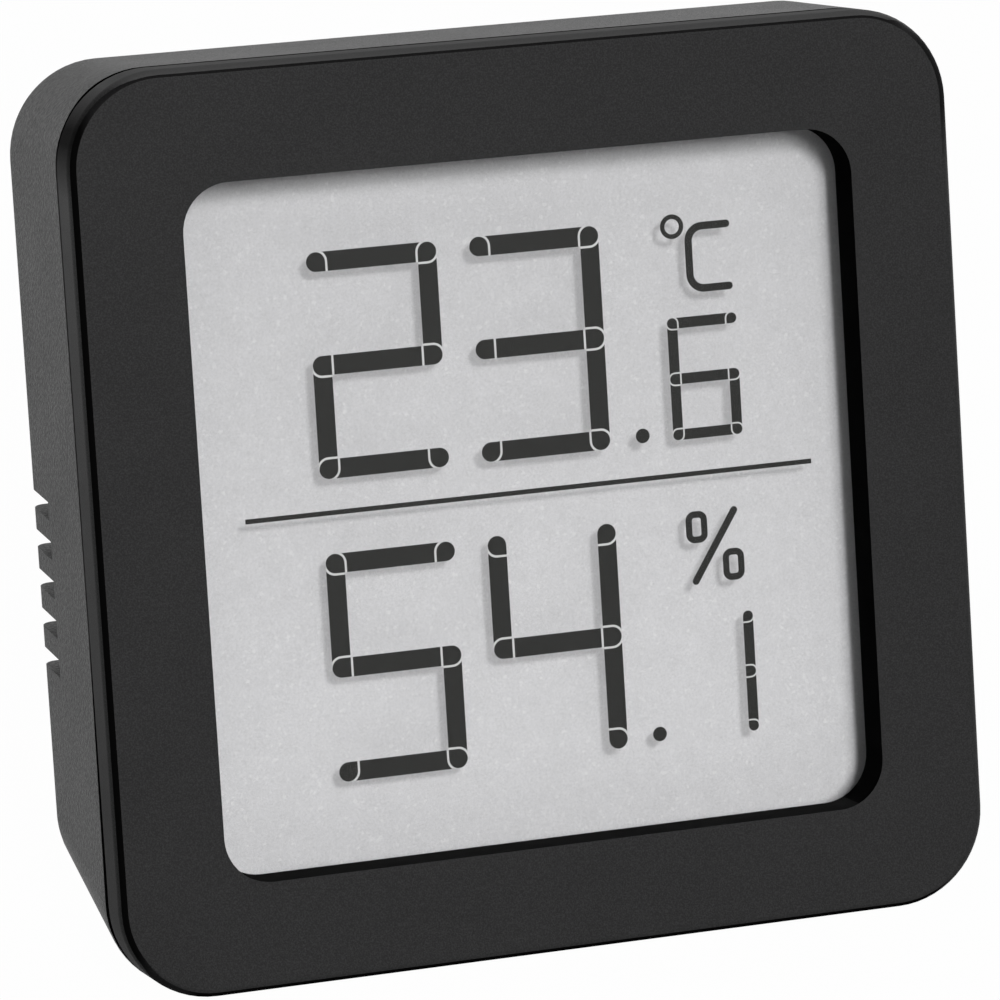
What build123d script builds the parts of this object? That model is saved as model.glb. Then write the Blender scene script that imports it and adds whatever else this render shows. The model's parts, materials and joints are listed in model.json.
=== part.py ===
from build123d import *
import math
import os

# A desk sensor for temperature and humidity: a square black case with a recessed
# liquid crystal display, louvres round its rear left edge and a fold-out stand.
# It is drawn upright, X to the right, Y from the front to the back and Z up, with
# the middle of the front face at zero. At the end every piece is tipped back
# together, so that the sloping sole lies flat on the desk at Z = 0.
# Lengths are in millimetres and angles in degrees.

# Case
front_side = 62.0
corner_radius = 6.4
wall = 1.8
front_edge_radius = 0.6
back_edge_radius = 0.9
sole_start = 4.1
sole_angle = 22.0
cut_over = 1.0

# Seam between the front frame and the rear shell
seam_depth = 2.9
seam_gap = 0.3
lip_depth = 5.0
lip_wall = 1.0
lip_clearance = 0.15

# Window in the front frame, by the frame's breadth on each side of it
frame_left = 7.475
frame_right = 7.275
frame_top = 7.75
frame_bottom = 7.35
window_radius = 3.25
window_depth = 3.0
face_thickness = 2.0
window_rim = 1.5

# Display: front film, two panes and a reflector, the front pane with a contact ledge
film_thickness = 0.2
film_border = 0.8
film_radius = 0.5
pane_thickness = 1.1
pane_side_border = 1.2
pane_top_border = 1.35
pane_bottom_border = 0.95
ledge = 2.4
reflector_thickness = 0.3
reflector_inset = 0.3
pocket_clearance = 0.2
pocket_wall = 0.8

# Display carrier and the rubber strip that joins the display to the board
carrier_thickness = 1.3
carrier_inset = 0.2
carrier_skirt = 0.4
carrier_window_rows = 3
carrier_bar = 2.4
strip_inset = 2.8
strip_thickness = 1.5
strip_clearance = 0.1

# Circuit board
board_thickness = 1.0
board_radius = 0.8
board_sole_gap = 0.3
board_ear_width = 5.6
board_ear_wall = 1.3
board_post_radius = 1.4
board_post_offset = 1.5
board_post_rise = 14.0
board_post_fall = 11.0
board_hole_radius = 0.95

# Screws
case_screw_radius = 0.9
case_screw_head_radius = 1.8
case_screw_head_height = 1.3
case_screw_length = 6.0
board_screw_radius = 0.75
board_screw_head_radius = 1.35
board_screw_head_height = 0.9
board_screw_length = 3.6
screw_dome = 0.35
screw_clearance = 0.05

# Screw posts of the case
case_post_gap = 0.2
case_post_from_top = 4.1
case_post_above_sole = 7.3
case_post_past_board = 0.6
front_post_radius = 1.9
rear_post_radius = 2.6
post_seat = 1.4
post_hole_clearance = 0.2
screw_end_room = 0.4

# Louvres round the rear left edge
louvre_count = 5
louvre_pitch = 2.7
louvre_height = 1.25
louvre_slope = 7.0
louvre_top = 2.3
louvre_depth = 4.4
louvre_across = 9.5

# Battery well, its round door and the coin cell
well_from_right = 15.2
well_from_top = 15.4
well_room = 1.3
cell_radius = 10.0
cell_thickness = 3.2
cell_rim = 1.0
cell_step = 0.25
cell_clearance = 0.3
cell_to_door = 0.1
well_wall = 1.2
well_floor = 1.0
well_spring_room = 0.5
door_past_cell = 1.2
door_thickness = 1.6
door_sink = 0.1
door_clearance = 0.1
door_edge_radius = 0.25
door_slot_length = 14.0
door_slot_width = 2.0
door_slot_depth = 0.9
door_twist = 35.0
lug_count = 3
lug_reach = 1.0
lug_angle = 18.0
lug_thickness = 0.75
lug_clearance = 0.1
lug_first = 100.0
flange_wall = 0.7
flange_back = 1.0

# Battery contacts
contact_thickness = 0.25
contact_width = 4.0
contact_foot = 2.6
contact_slot_room = 0.5
finger_start = 6.5
finger_tip = 1.8
finger_curl = 0.35
side_contact_gap = 0.05
side_contact_bow = 0.45
side_contact_top = 1.4

# Fold-out stand
stand_width = 22.0
stand_opening = 30.8
stand_thickness = 1.7
stand_corner = 3.0
hinge_z = 0.0
hub_radius = 1.6
hub_sink = 0.1
hinge_pin_radius = 1.1
hinge_pin_length = 1.5
hinge_pin_clearance = 0.05
stand_clearance = 0.3
stand_top_room = 0.9
stand_cheek = 2.4
stand_pan = 1.2
heel_reach = 0.55
heel_gap = 0.05
grip_count = 4
grip_pitch = 1.6
grip_width = 0.7
grip_depth = 0.35
grip_length = 12.0

# Button on the back and the switch under it
button_from_left = 16.5
button_radius = 3.2
button_clearance = 0.1
button_sink = 0.1
button_edge_radius = 0.35
button_dish_radius = 9.0
button_dish_depth = 0.3
button_flange = 0.9
button_flange_thickness = 0.8
button_flange_gap = 0.15
button_stem_radius = 1.5
button_travel = 0.5
button_guide_wall = 1.0
button_guide_room = 0.3
switch_side = 6.0
switch_height = 3.4
switch_corner = 0.5
switch_clearance = 0.06
plunger_radius = 1.75
plunger_rise = 0.9
plunger_below = 0.8
plunger_seat_room = 0.2

# Keyhole for a wall screw
keyhole_from_top = 11.0
keyhole_head_radius = 3.2
keyhole_slot_radius = 1.8
keyhole_slot_rise = 4.6
keyhole_pocket_depth = 2.4
keyhole_wall = 1.0
keyhole_room = 0.3

# Parts soldered on the back of the board
sensor_from_left = 9.5
sensor_side = 3.0
sensor_height = 1.1
sensor_port_radius = 0.6
sensor_port_depth = 0.5
blob_x = -7.0
blob_z = -12.5
blob_radius = 4.2
blob_height = 1.3
crystal_x = 4.5
crystal_z = -9.0
crystal_radius = 1.0
crystal_length = 6.0
crystal_edge_radius = 0.3
crystal_gap = 0.05
chip_length = 1.6
chip_width = 0.8
chip_height = 0.6
chip_pitch = 2.2
chip_count = 5
chip_row_x = -17.5
chip_row_z = -18.5
chip_second_row_x = 6.0
chip_second_row_z = -16.5


def rad_tan(angle):
    """The tangent of an angle in degrees."""
    return math.tan(math.radians(angle))


def rad_cos(angle):
    """The cosine of an angle in degrees."""
    return math.cos(math.radians(angle))


def rad_sin(angle):
    """The sine of an angle in degrees."""
    return math.sin(math.radians(angle))


def outer_sole(depth):
    """The height of the sole's outside at a depth behind its start."""
    return (depth - sole_start) * rad_tan(sole_angle) - front_side / 2


def inner_sole(depth):
    """The height of the sole's inside at a depth behind its start."""
    return outer_sole(depth) + wall / rad_cos(sole_angle)


# Depths from the front face that several pieces share. The case is as deep as the
# display, the carrier, the board, the battery well and its door need one behind the other
half_side = front_side / 2
seam_back = seam_depth + seam_gap
front_pane_front = window_depth + film_thickness
rear_pane_front = front_pane_front + pane_thickness
reflector_front = rear_pane_front + pane_thickness
carrier_front = reflector_front + reflector_thickness
board_front = carrier_front + carrier_thickness
board_back = board_front + board_thickness
well_floor_front = board_back + well_room
well_floor_back = well_floor_front + well_floor
cell_front = well_floor_back + well_spring_room
cell_back = cell_front + cell_thickness
door_front = cell_back + cell_to_door
door_back = door_front + door_thickness
case_depth = door_back + door_sink
back_wall_front = case_depth - wall
case_post_split = board_back + case_post_past_board
hinge_y = case_depth - hub_radius - hub_sink
recess_floor = hinge_y - hub_radius - stand_clearance

# Places across the case that several pieces share
window_left = frame_left - half_side
window_right = half_side - frame_right
window_top = half_side - frame_top
window_bottom = frame_bottom - half_side
pane_left = window_left - pane_side_border
pane_right = window_right + pane_side_border
pane_top = window_top + pane_top_border
rear_pane_bottom = window_bottom - pane_bottom_border
ledge_bottom = rear_pane_bottom - ledge
strip_left = pane_left + strip_inset
strip_right = pane_right - strip_inset
strip_z = rear_pane_bottom - ledge / 2
board_bottom = inner_sole(board_back) + board_sole_gap
well_x = half_side - well_from_right
well_z = half_side - well_from_top
well_radius = cell_radius + cell_clearance
well_outer = well_radius + well_wall
door_radius = cell_radius + door_past_cell
recess_top = hinge_z + hub_radius + stand_top_room
button_x = button_from_left - half_side
button_z = well_z
keyhole_z = half_side - keyhole_from_top
sensor_x = sensor_from_left - half_side
sensor_z = louvre_top - (louvre_height + louvre_pitch * (louvre_count - 1)) / 2
case_post_out = case_post_gap + front_post_radius
case_post_heights = (half_side - case_post_from_top, outer_sole(case_depth) + case_post_above_sole)
case_post_sides = (pane_left - case_post_out, pane_right + case_post_out)
case_posts = [(x, z) for x in case_post_sides for z in case_post_heights]
board_post_heights = (board_post_rise, -board_post_fall)
board_post_sides = (pane_left - board_post_offset, pane_right + board_post_offset)
board_posts = [(x, z) for x in board_post_sides for z in board_post_heights]


def slab(face, y_from, y_to):
    """A face drawn in X and Z, carried from one depth to another."""
    return extrude(Plane.XZ.offset(-y_from) * face, amount=y_from - y_to)


def rod(x, z, radius, y_from, y_to):
    """A round bar along Y."""
    return slab(Pos(x, z) * Circle(radius), y_from, y_to)


def block(x_from, x_to, y_from, y_to, z_from, z_to):
    """A square-edged block between pairs of places along X, Y and Z."""
    face = Pos((x_from + x_to) / 2, (z_from + z_to) / 2) * Rectangle(x_to - x_from, z_to - z_from)
    return slab(face, y_from, y_to)


def case_form(inset, y_from, y_to):
    """The case's form drawn in by an inset: round-cornered, its underside rising behind the sole's start."""
    side = front_side - 2 * inset
    radius = corner_radius - inset
    bend = sole_start - inset * rad_tan(sole_angle / 2)
    outline = RectangleRounded(side, side, radius)
    if y_to <= bend:
        return slab(outline, y_from, y_to)
    tall = Pos(0, side / 2) * RectangleRounded(side, 2 * side, radius)
    run = (y_to - bend) / rad_cos(sole_angle)
    slope = (0, rad_cos(sole_angle), rad_sin(sole_angle))
    rising = extrude(Plane.XZ.offset(-bend) * tall, amount=run, dir=slope)
    behind = slab(outline, bend, y_to) & rising
    return slab(outline, y_from, bend) + behind


def rounded_face(left, right, bottom, top, radius):
    """A round-cornered face between its four sides."""
    return Pos((left + right) / 2, (bottom + top) / 2) * RectangleRounded(right - left, top - bottom, radius)


def window_face(grow, radius):
    """The window's outline, grown outwards."""
    left, right = window_left - grow, window_right + grow
    return rounded_face(left, right, window_bottom - grow, window_top + grow, radius)


def outer_edges(face):
    """The edges round the outside of a face."""
    return face.outer_wire().edges()


def make_front_frame():
    """The moulded front: face, window with its rim, skirt, lip, display pocket and screw posts."""
    outline = RectangleRounded(front_side, front_side, corner_radius)
    hollow_side = front_side - 2 * wall
    hollow = RectangleRounded(hollow_side, hollow_side, corner_radius - wall)
    cover = slab(outline, 0, seam_depth)
    cover = fillet(outer_edges(cover.faces().sort_by(Axis.Y)[0]), front_edge_radius)
    cover -= slab(hollow, face_thickness, seam_depth + cut_over)
    lip_out = wall + lip_clearance
    lip = case_form(lip_out, face_thickness, lip_depth)
    lip -= case_form(lip_out + lip_wall, face_thickness - cut_over, lip_depth + cut_over)
    skirt_fill = slab(hollow, face_thickness, seam_depth) - case_form(
        lip_out, face_thickness - cut_over, seam_depth + cut_over
    )
    rim = slab(window_face(window_rim, window_radius + window_rim), face_thickness, window_depth)
    pocket_left = pane_left - pocket_clearance
    pocket_right = pane_right + pocket_clearance
    pocket_top = pane_top + pocket_clearance
    pocket_bottom = ledge_bottom - pocket_clearance - carrier_skirt
    pocket = block(
        pocket_left - pocket_wall,
        pocket_right + pocket_wall,
        face_thickness,
        reflector_front,
        pocket_bottom - pocket_wall,
        pocket_top + pocket_wall,
    )
    pocket -= block(pocket_left, pocket_right, 0, reflector_front + cut_over, pocket_bottom, pocket_top)
    inside = case_form(lip_out, face_thickness, case_post_split)
    bosses = [rod(x, z, front_post_radius, face_thickness, case_post_split) for x, z in case_posts]
    bosses += [rod(x, z, board_post_radius, face_thickness, board_front) for x, z in board_posts]
    pilots = [
        rod(x, z, case_screw_radius + screw_clearance, case_pilot_end(), case_post_split + cut_over)
        for x, z in case_posts
    ]
    pilots += [
        rod(x, z, board_screw_radius + screw_clearance, board_pilot_end(), board_front + cut_over)
        for x, z in board_posts
    ]
    frame = cover + skirt_fill + lip + rim + ((pocket + bosses) & inside)
    window = slab(window_face(0, window_radius), -cut_over, window_depth + cut_over)
    return frame - window - pilots


def case_pilot_end():
    """How near the front a case screw's pilot hole reaches."""
    return case_post_split + post_seat - case_screw_length - screw_end_room


def board_pilot_end():
    """How near the front a board screw's pilot hole reaches."""
    return board_back - board_screw_length - screw_end_room


def louvre_cutter(index):
    """One louvre's gap: a thin slab that falls towards the front, cut through side, edge and back."""
    front = case_depth - louvre_depth
    back = case_depth + cut_over
    top = louvre_top - index * louvre_pitch
    fall = rad_tan(louvre_slope)
    roof_front = top - louvre_depth * fall
    roof_back = top + cut_over * fall
    profile = Polygon(
        (front, roof_front - louvre_height),
        (back, roof_back - louvre_height),
        (back, roof_back),
        (front, roof_front),
        align=None,
    )
    left = -half_side - cut_over
    return extrude(Plane.YZ.offset(left) * profile, amount=louvre_across + cut_over)


def ring_sector(radius, reach, start, sweep, y_from, y_to):
    """Part of a disc about the battery well's axis, from one angle over a sweep."""
    corner = 2 * (radius + reach)
    ends = [
        (corner * rad_cos(start + sweep * share), corner * rad_sin(start + sweep * share))
        for share in (0, 0.5, 1)
    ]
    wedge = Polygon((0, 0), *ends, align=None)
    face = Circle(radius + reach) & wedge
    return slab(Pos(well_x, well_z) * face, y_from, y_to)


def lug_starts():
    """The angle at which each of the door's lugs starts."""
    return [lug_first + 360 / lug_count * i for i in range(lug_count)]


def make_battery_door():
    """The round door: a plate with a coin slot and lugs that turn under the shell's ledge."""
    plate = rod(well_x, well_z, door_radius, door_front, door_back)
    back_face = plate.faces().sort_by(Axis.Y)[-1]
    plate = fillet(outer_edges(back_face), door_edge_radius)
    for start in lug_starts():
        plate += ring_sector(door_radius, lug_reach, start, lug_angle, door_front, door_front + lug_thickness)
    slot_face = Pos(well_x, well_z) * SlotOverall(door_slot_length, door_slot_width)
    return plate - slab(slot_face, door_back - door_slot_depth, door_back + cut_over)


def door_seat():
    """What the battery door takes out of the rear shell: its seat, the lugs' way round and their entries."""
    opening = door_radius + door_clearance
    track_reach = lug_reach + door_clearance
    track_top = door_front + lug_thickness + lug_clearance
    seat = rod(well_x, well_z, opening, door_front - lug_clearance, case_depth + cut_over)
    for start in lug_starts():
        spare = math.degrees(door_clearance / door_radius)
        entry = start - door_twist - spare
        entry_sweep = lug_angle + 2 * spare
        sweep = entry_sweep + door_twist
        seat += ring_sector(opening, track_reach, entry, sweep, door_front - lug_clearance, track_top)
        seat += ring_sector(
            opening, track_reach, entry, entry_sweep, door_front - lug_clearance, case_depth + cut_over
        )
    return seat


def contact_slots():
    """The gaps in the battery well that its two contacts come through."""
    half = contact_width / 2 + contact_slot_room
    floor_slot = block(
        well_x - finger_start - contact_slot_room - contact_thickness,
        well_x - finger_tip + contact_slot_room + contact_thickness,
        well_floor_front - cut_over,
        well_floor_back + cut_over,
        well_z - half,
        well_z + half,
    )
    side_slot = block(
        well_x - half,
        well_x + half,
        well_floor_front - cut_over,
        cell_back,
        well_z - well_outer - cut_over,
        well_z - cell_radius,
    )
    return floor_slot + side_slot


def make_rear_shell():
    """The moulded rear: walls, sole, louvres, screw posts, battery well, stand recess and keyhole."""
    outer = case_form(0, seam_back, case_depth)
    outer = fillet(outer_edges(outer.faces().sort_by(Axis.Y)[-1]), back_edge_radius)
    shell = outer - case_form(wall, seam_back - cut_over, back_wall_front)
    fills = [rod(x, z, rear_post_radius, case_post_split, case_depth) for x, z in case_posts]
    fills.append(rod(well_x, well_z, well_outer, well_floor_front, case_depth))
    flange_radius = door_radius + lug_reach + flange_wall
    fills.append(rod(well_x, well_z, flange_radius, door_front - lug_clearance - flange_back, case_depth))
    fills.append(stand_pan_block())
    fills.append(keyhole_pocket_block())
    guide_radius = button_radius + button_flange + button_guide_room + button_guide_wall
    fills.append(rod(button_x, button_z, guide_radius, button_guide_front(), case_depth))
    inside = case_form(wall / 2, seam_back, case_depth - wall / 2)
    for fill in fills:
        shell += fill & inside
    for cut in rear_cuts():
        shell -= cut
    return shell


def button_guide_front():
    """Where the ring round the button's flange ends inside the case."""
    return back_wall_front - button_flange_gap - button_flange_thickness - button_travel - button_guide_room


def rear_cuts():
    """Everything that is cut out of the filled rear shell."""
    cuts = [louvre_cutter(i) for i in range(louvre_count)]
    for x, z in case_posts:
        hole = case_screw_radius + post_hole_clearance
        head = case_screw_head_radius + post_hole_clearance
        cuts.append(rod(x, z, hole, case_post_split - cut_over, case_depth + cut_over))
        cuts.append(rod(x, z, head, case_post_split + post_seat, case_depth + cut_over))
    cuts.append(rod(well_x, well_z, well_radius, well_floor_back, case_depth + cut_over))
    cuts.append(door_seat())
    cuts.append(contact_slots())
    half = stand_width / 2 + stand_clearance
    cuts.append(block(-half, half, recess_floor, case_depth + cut_over, -front_side, recess_top))
    bore = hinge_pin_radius + hinge_pin_clearance
    reach = stand_width / 2 + hinge_pin_length + hinge_pin_clearance
    cuts.append(Pos(0, hinge_y, hinge_z) * Rot(0, 90, 0) * Cylinder(bore, 2 * reach))
    cuts.append(keyhole_cut())
    flange = button_radius + button_flange + button_guide_room
    cuts.append(rod(button_x, button_z, button_radius + button_clearance, 0, case_depth + cut_over))
    cuts.append(rod(button_x, button_z, flange, 0, back_wall_front))
    return cuts


def stand_pan_block():
    """The block inside the back wall that the stand's recess and hinge bores are cut into."""
    half = stand_width / 2 + stand_clearance + stand_cheek
    return block(-half, half, recess_floor - stand_pan, case_depth, -half_side, recess_top + stand_pan)


def keyhole_face(grow):
    """The keyhole's outline, grown outwards: a round entry with a narrower slot above it."""
    slot_radius = keyhole_slot_radius + grow
    slot = Pos(0, keyhole_z + keyhole_slot_rise / 2) * Rectangle(2 * slot_radius, keyhole_slot_rise)
    end = Pos(0, keyhole_z + keyhole_slot_rise) * Circle(slot_radius)
    return Pos(0, keyhole_z) * Circle(keyhole_head_radius + grow) + slot + end


def keyhole_room_face(grow):
    """The outline of the room behind the keyhole, wide enough for a screw's head along the slot."""
    radius = keyhole_head_radius + keyhole_room + grow
    span = keyhole_slot_rise
    middle = Pos(0, keyhole_z + span / 2)
    return middle * Rot(0, 0, 90) * SlotCenterToCenter(span, 2 * radius)


def keyhole_pocket_block():
    """The closed pocket behind the keyhole, before its room is cut."""
    front = back_wall_front - keyhole_pocket_depth - keyhole_wall
    return slab(keyhole_room_face(keyhole_wall), front, case_depth)


def keyhole_cut():
    """The keyhole through the back wall and the room for the screw's head behind it."""
    through = slab(keyhole_face(0), back_wall_front - cut_over, case_depth + cut_over)
    return through + slab(keyhole_room_face(0), back_wall_front - keyhole_pocket_depth, back_wall_front)


def make_display():
    """The display's four layers, by node name."""
    film = slab(window_face(film_border, film_radius), window_depth, front_pane_front)
    front_pane = block(pane_left, pane_right, front_pane_front, rear_pane_front, ledge_bottom, pane_top)
    rear_pane = block(pane_left, pane_right, rear_pane_front, reflector_front, rear_pane_bottom, pane_top)
    reflector = block(
        pane_left + reflector_inset,
        pane_right - reflector_inset,
        reflector_front,
        carrier_front,
        rear_pane_bottom + reflector_inset,
        pane_top - reflector_inset,
    )
    return {
        "display_front_film": film,
        "display_front_pane": front_pane,
        "display_rear_pane": rear_pane,
        "display_reflector": reflector,
    }


def make_display_carrier():
    """The moulded tray behind the display: a lattice plate with a trough for the contact strip."""
    left = pane_left + carrier_inset
    right = pane_right - carrier_inset
    bottom = ledge_bottom - carrier_skirt
    top = pane_top - carrier_inset
    tray = block(left, right, carrier_front, board_front, bottom, top)
    tray += block(left, right, rear_pane_front, carrier_front, bottom, bottom + carrier_skirt)
    slot_left, slot_right = strip_left - strip_clearance, strip_right + strip_clearance
    slot_deep = strip_thickness / 2 + strip_clearance
    tray -= block(slot_left, slot_right, 0, case_depth, strip_z - slot_deep, strip_z + slot_deep)
    low = rear_pane_bottom + carrier_bar
    cell_w = (right - left - carrier_bar) / carrier_window_rows
    cell_h = (top - low - carrier_bar) / carrier_window_rows
    for row in range(carrier_window_rows):
        for column in range(carrier_window_rows):
            x = left + carrier_bar + column * cell_w
            z = low + carrier_bar + row * cell_h
            tray -= block(x, x + cell_w - carrier_bar, 0, case_depth, z, z + cell_h - carrier_bar)
    return tray


def make_contact_strip():
    """The striped rubber strip between the display's ledge and the board."""
    low = strip_z - strip_thickness / 2
    return block(strip_left, strip_right, rear_pane_front, board_front, low, low + strip_thickness)


def make_circuit_board():
    """The board, with an ear at each of its screws."""
    plate = rounded_face(pane_left, pane_right, board_bottom, pane_top, board_radius)
    for x, z in board_posts:
        inner = x - math.copysign(board_post_offset + 2 * board_radius, x)
        outer = x + math.copysign(board_ear_wall, x)
        low = z - board_ear_width / 2
        plate += rounded_face(min(inner, outer), max(inner, outer), low, low + board_ear_width, board_radius)
    board = slab(plate, board_front, board_back)
    for x, z in board_posts:
        board -= rod(x, z, board_hole_radius, board_front - cut_over, board_back + cut_over)
    return board


def screw(radius, head_radius, head_height, length, seat_y, x, z):
    """A screw along Y with a domed head whose underside lies at the seat."""
    dome = seat_y + head_height - screw_dome
    tip = seat_y - length
    top = seat_y + head_height
    corners = [(0, tip), (radius, tip + radius), (radius, seat_y), (head_radius, seat_y), (head_radius, dome)]
    side = Polyline(*corners)
    ball = (head_radius ** 2 + screw_dome ** 2) / (2 * screw_dome)
    half_way = top - ball + math.sqrt(ball ** 2 - (head_radius / 2) ** 2)
    cap = ThreePointArc((head_radius, dome), (head_radius / 2, half_way), (0, top))
    axis_line = Line((0, top), (0, tip))
    return Pos(x, 0, z) * revolve(make_face(side + cap + axis_line), axis=Axis.Y)


def make_case_screws():
    """The four screws that hold the rear shell to the front frame."""
    seat = case_post_split + post_seat
    sizes = (case_screw_radius, case_screw_head_radius, case_screw_head_height, case_screw_length)
    return Compound(children=[screw(*sizes, seat, x, z) for x, z in case_posts])


def make_board_screws():
    """The four small screws that hold the board to the front frame."""
    sizes = (board_screw_radius, board_screw_head_radius, board_screw_head_height, board_screw_length)
    return Compound(children=[screw(*sizes, board_back, x, z) for x, z in board_posts])


def make_coin_cell():
    """The coin cell: the smaller pole faces the board and the can faces the door."""
    pole = rod(well_x, well_z, cell_radius - cell_rim, cell_front, cell_front + cell_step)
    can = rod(well_x, well_z, cell_radius, cell_front + cell_step, cell_back)
    can = fillet(outer_edges(can.faces().sort_by(Axis.Y)[-1]), cell_step)
    return pole + can


def bent_strip(points, width, at):
    """A strip of sheet metal that follows points, of even thickness, across a width."""
    line = Polyline(*points)
    profile = trace(line, contact_thickness)
    return at * extrude(profile, amount=width / 2, both=True)


def make_finger_contact():
    """The contact under the cell: a soldered foot, a riser through the well's floor and a springy finger."""
    foot_y = board_back + contact_thickness / 2
    shelf_y = well_floor_back - contact_thickness
    touch_y = cell_front - contact_thickness / 2 - side_contact_gap
    points = [
        (-finger_start - contact_foot, foot_y),
        (-finger_start, foot_y),
        (-finger_start, shelf_y),
        (-finger_tip - finger_curl, touch_y),
        (-finger_tip + contact_thickness, touch_y - finger_curl),
    ]
    at = Pos(well_x, 0, well_z)
    return bent_strip(points, contact_width, at)


def make_side_contact():
    """The contact beside the cell: a soldered foot and a riser that bows in to the cell's rim."""
    foot_y = board_back + contact_thickness / 2
    touch = cell_radius + side_contact_gap + contact_thickness / 2
    middle = (cell_front + cell_back) / 2
    top = cell_back - side_contact_top / 2
    points = [
        (touch + side_contact_bow + contact_foot, foot_y),
        (touch + side_contact_bow, foot_y),
        (touch + side_contact_bow, cell_front),
        (touch, middle),
        (touch + side_contact_bow, top),
    ]
    at = Pos(well_x, 0, well_z) * Rot(0, 90, 0)
    return bent_strip(points, contact_width, at)


def stand_length():
    """How long the stand is below its hinge for its foot to stand on the desk when it is open."""
    foot_radius = stand_thickness / 2
    swing = stand_opening - sole_angle
    height = (hinge_z - outer_sole(hinge_y)) * rad_cos(sole_angle)
    return foot_radius + (height - foot_radius + (hub_radius - foot_radius) * rad_sin(swing)) / rad_cos(swing)


def make_stand():
    """The fold-out stand, swung open: a leaf with a round foot, a hub with two pins and a stop heel."""
    foot_radius = stand_thickness / 2
    leaf_middle = hub_radius - foot_radius
    length = stand_length()
    heel_length = hub_radius + heel_reach
    heel_stop = hub_radius + stand_clearance - heel_gap
    heel_angle = 180 - math.degrees(math.acos(heel_stop / heel_length))
    side = Circle(hub_radius)
    side += Pos(leaf_middle, -(length - foot_radius) / 2) * Rectangle(stand_thickness, length - foot_radius)
    side += Pos(leaf_middle, -(length - foot_radius)) * Circle(foot_radius)
    heel = Pos(heel_length / 2, -heel_reach / 2) * Rectangle(heel_length, heel_reach)
    side += Rot(0, 0, heel_angle - stand_opening) * heel
    leaf = extrude(Plane.YZ * side, amount=stand_width / 2, both=True)
    plan = RectangleRounded(stand_width, 2 * length, stand_corner)
    leaf = leaf & slab(plan, -length, length)
    pin_reach = stand_width + 2 * hinge_pin_length
    pins = Rot(0, 90, 0) * Cylinder(hinge_pin_radius, pin_reach)
    leaf += pins
    for i in range(grip_count):
        z = stand_corner - length + i * grip_pitch
        groove = Pos(0, z) * SlotOverall(grip_length, grip_width)
        leaf -= slab(groove, hub_radius - grip_depth, hub_radius + cut_over)
    return Pos(0, hinge_y, hinge_z) * Rot(stand_opening, 0, 0) * leaf


def make_button():
    """The button: a dished cap, a flange that keeps it in and a stem down to the switch."""
    cap_back = case_depth - button_sink
    flange_back = back_wall_front - button_flange_gap
    stem_front = board_back + switch_height + plunger_rise
    cap = rod(button_x, button_z, button_radius, flange_back - button_flange_thickness, cap_back)
    cap = fillet(outer_edges(cap.faces().sort_by(Axis.Y)[-1]), button_edge_radius)
    flange = button_radius + button_flange
    cap += rod(button_x, button_z, flange, flange_back - button_flange_thickness, flange_back)
    cap += rod(button_x, button_z, button_stem_radius, stem_front, cap_back - button_dish_depth * 2)
    dish = Pos(button_x, cap_back - button_dish_depth + button_dish_radius, button_z) * Sphere(
        button_dish_radius
    )
    return cap - dish


def make_switch_body():
    """The switch's body, with a well for its plunger."""
    face = Pos(button_x, button_z) * RectangleRounded(switch_side, switch_side, switch_corner)
    body = slab(face, board_back, board_back + switch_height)
    top = board_back + switch_height
    floor = top - plunger_below - plunger_seat_room - button_travel
    return body - rod(button_x, button_z, plunger_radius + switch_clearance, floor, top + cut_over)


def make_switch_plunger():
    """The switch's plunger, under the button's stem."""
    front = board_back + switch_height - plunger_below
    return rod(button_x, button_z, plunger_radius, front, board_back + switch_height + plunger_rise)


def make_sensor():
    """The chip that measures: a small square body with a port to the air."""
    half = sensor_side / 2
    back = board_back + sensor_height
    body = block(sensor_x - half, sensor_x + half, board_back, back, sensor_z - half, sensor_z + half)
    return body - rod(sensor_x, sensor_z, sensor_port_radius, back - sensor_port_depth, back + cut_over)


def make_controller():
    """The controller under its drop of black resin, a low dome on the board."""
    ball = (blob_radius ** 2 + blob_height ** 2) / (2 * blob_height)
    dome = Pos(blob_x, board_back + blob_height - ball, blob_z) * Sphere(ball)
    keep = rod(blob_x, blob_z, blob_radius + cut_over, board_back, board_back + blob_height + cut_over)
    return dome & keep


def make_crystal():
    """The watch crystal: a small can lying along X on the board."""
    can = Rot(0, 90, 0) * Cylinder(crystal_radius, crystal_length)
    can = fillet(can.faces().sort_by(Axis.X)[-1].edges(), crystal_edge_radius)
    return Pos(crystal_x, board_back + crystal_radius + crystal_gap, crystal_z) * can


def make_chips():
    """Two rows of small chip parts on the board."""
    made = []
    for x0, z0 in ((chip_row_x, chip_row_z), (chip_second_row_x, chip_second_row_z)):
        for i in range(chip_count):
            x = x0 + i * chip_pitch
            made.append(block(x, x + chip_width, board_back, board_back + chip_height, z0, z0 + chip_length))
    return Compound(children=made)


def to_desk(shape):
    """Tips a piece back with the case, so that the sole lies flat with its middle at zero."""
    sole_middle = (sole_start + case_depth) / 2
    return Rot(-sole_angle, 0, 0) * Pos(0, -sole_middle, -outer_sole(sole_middle)) * shape


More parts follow.
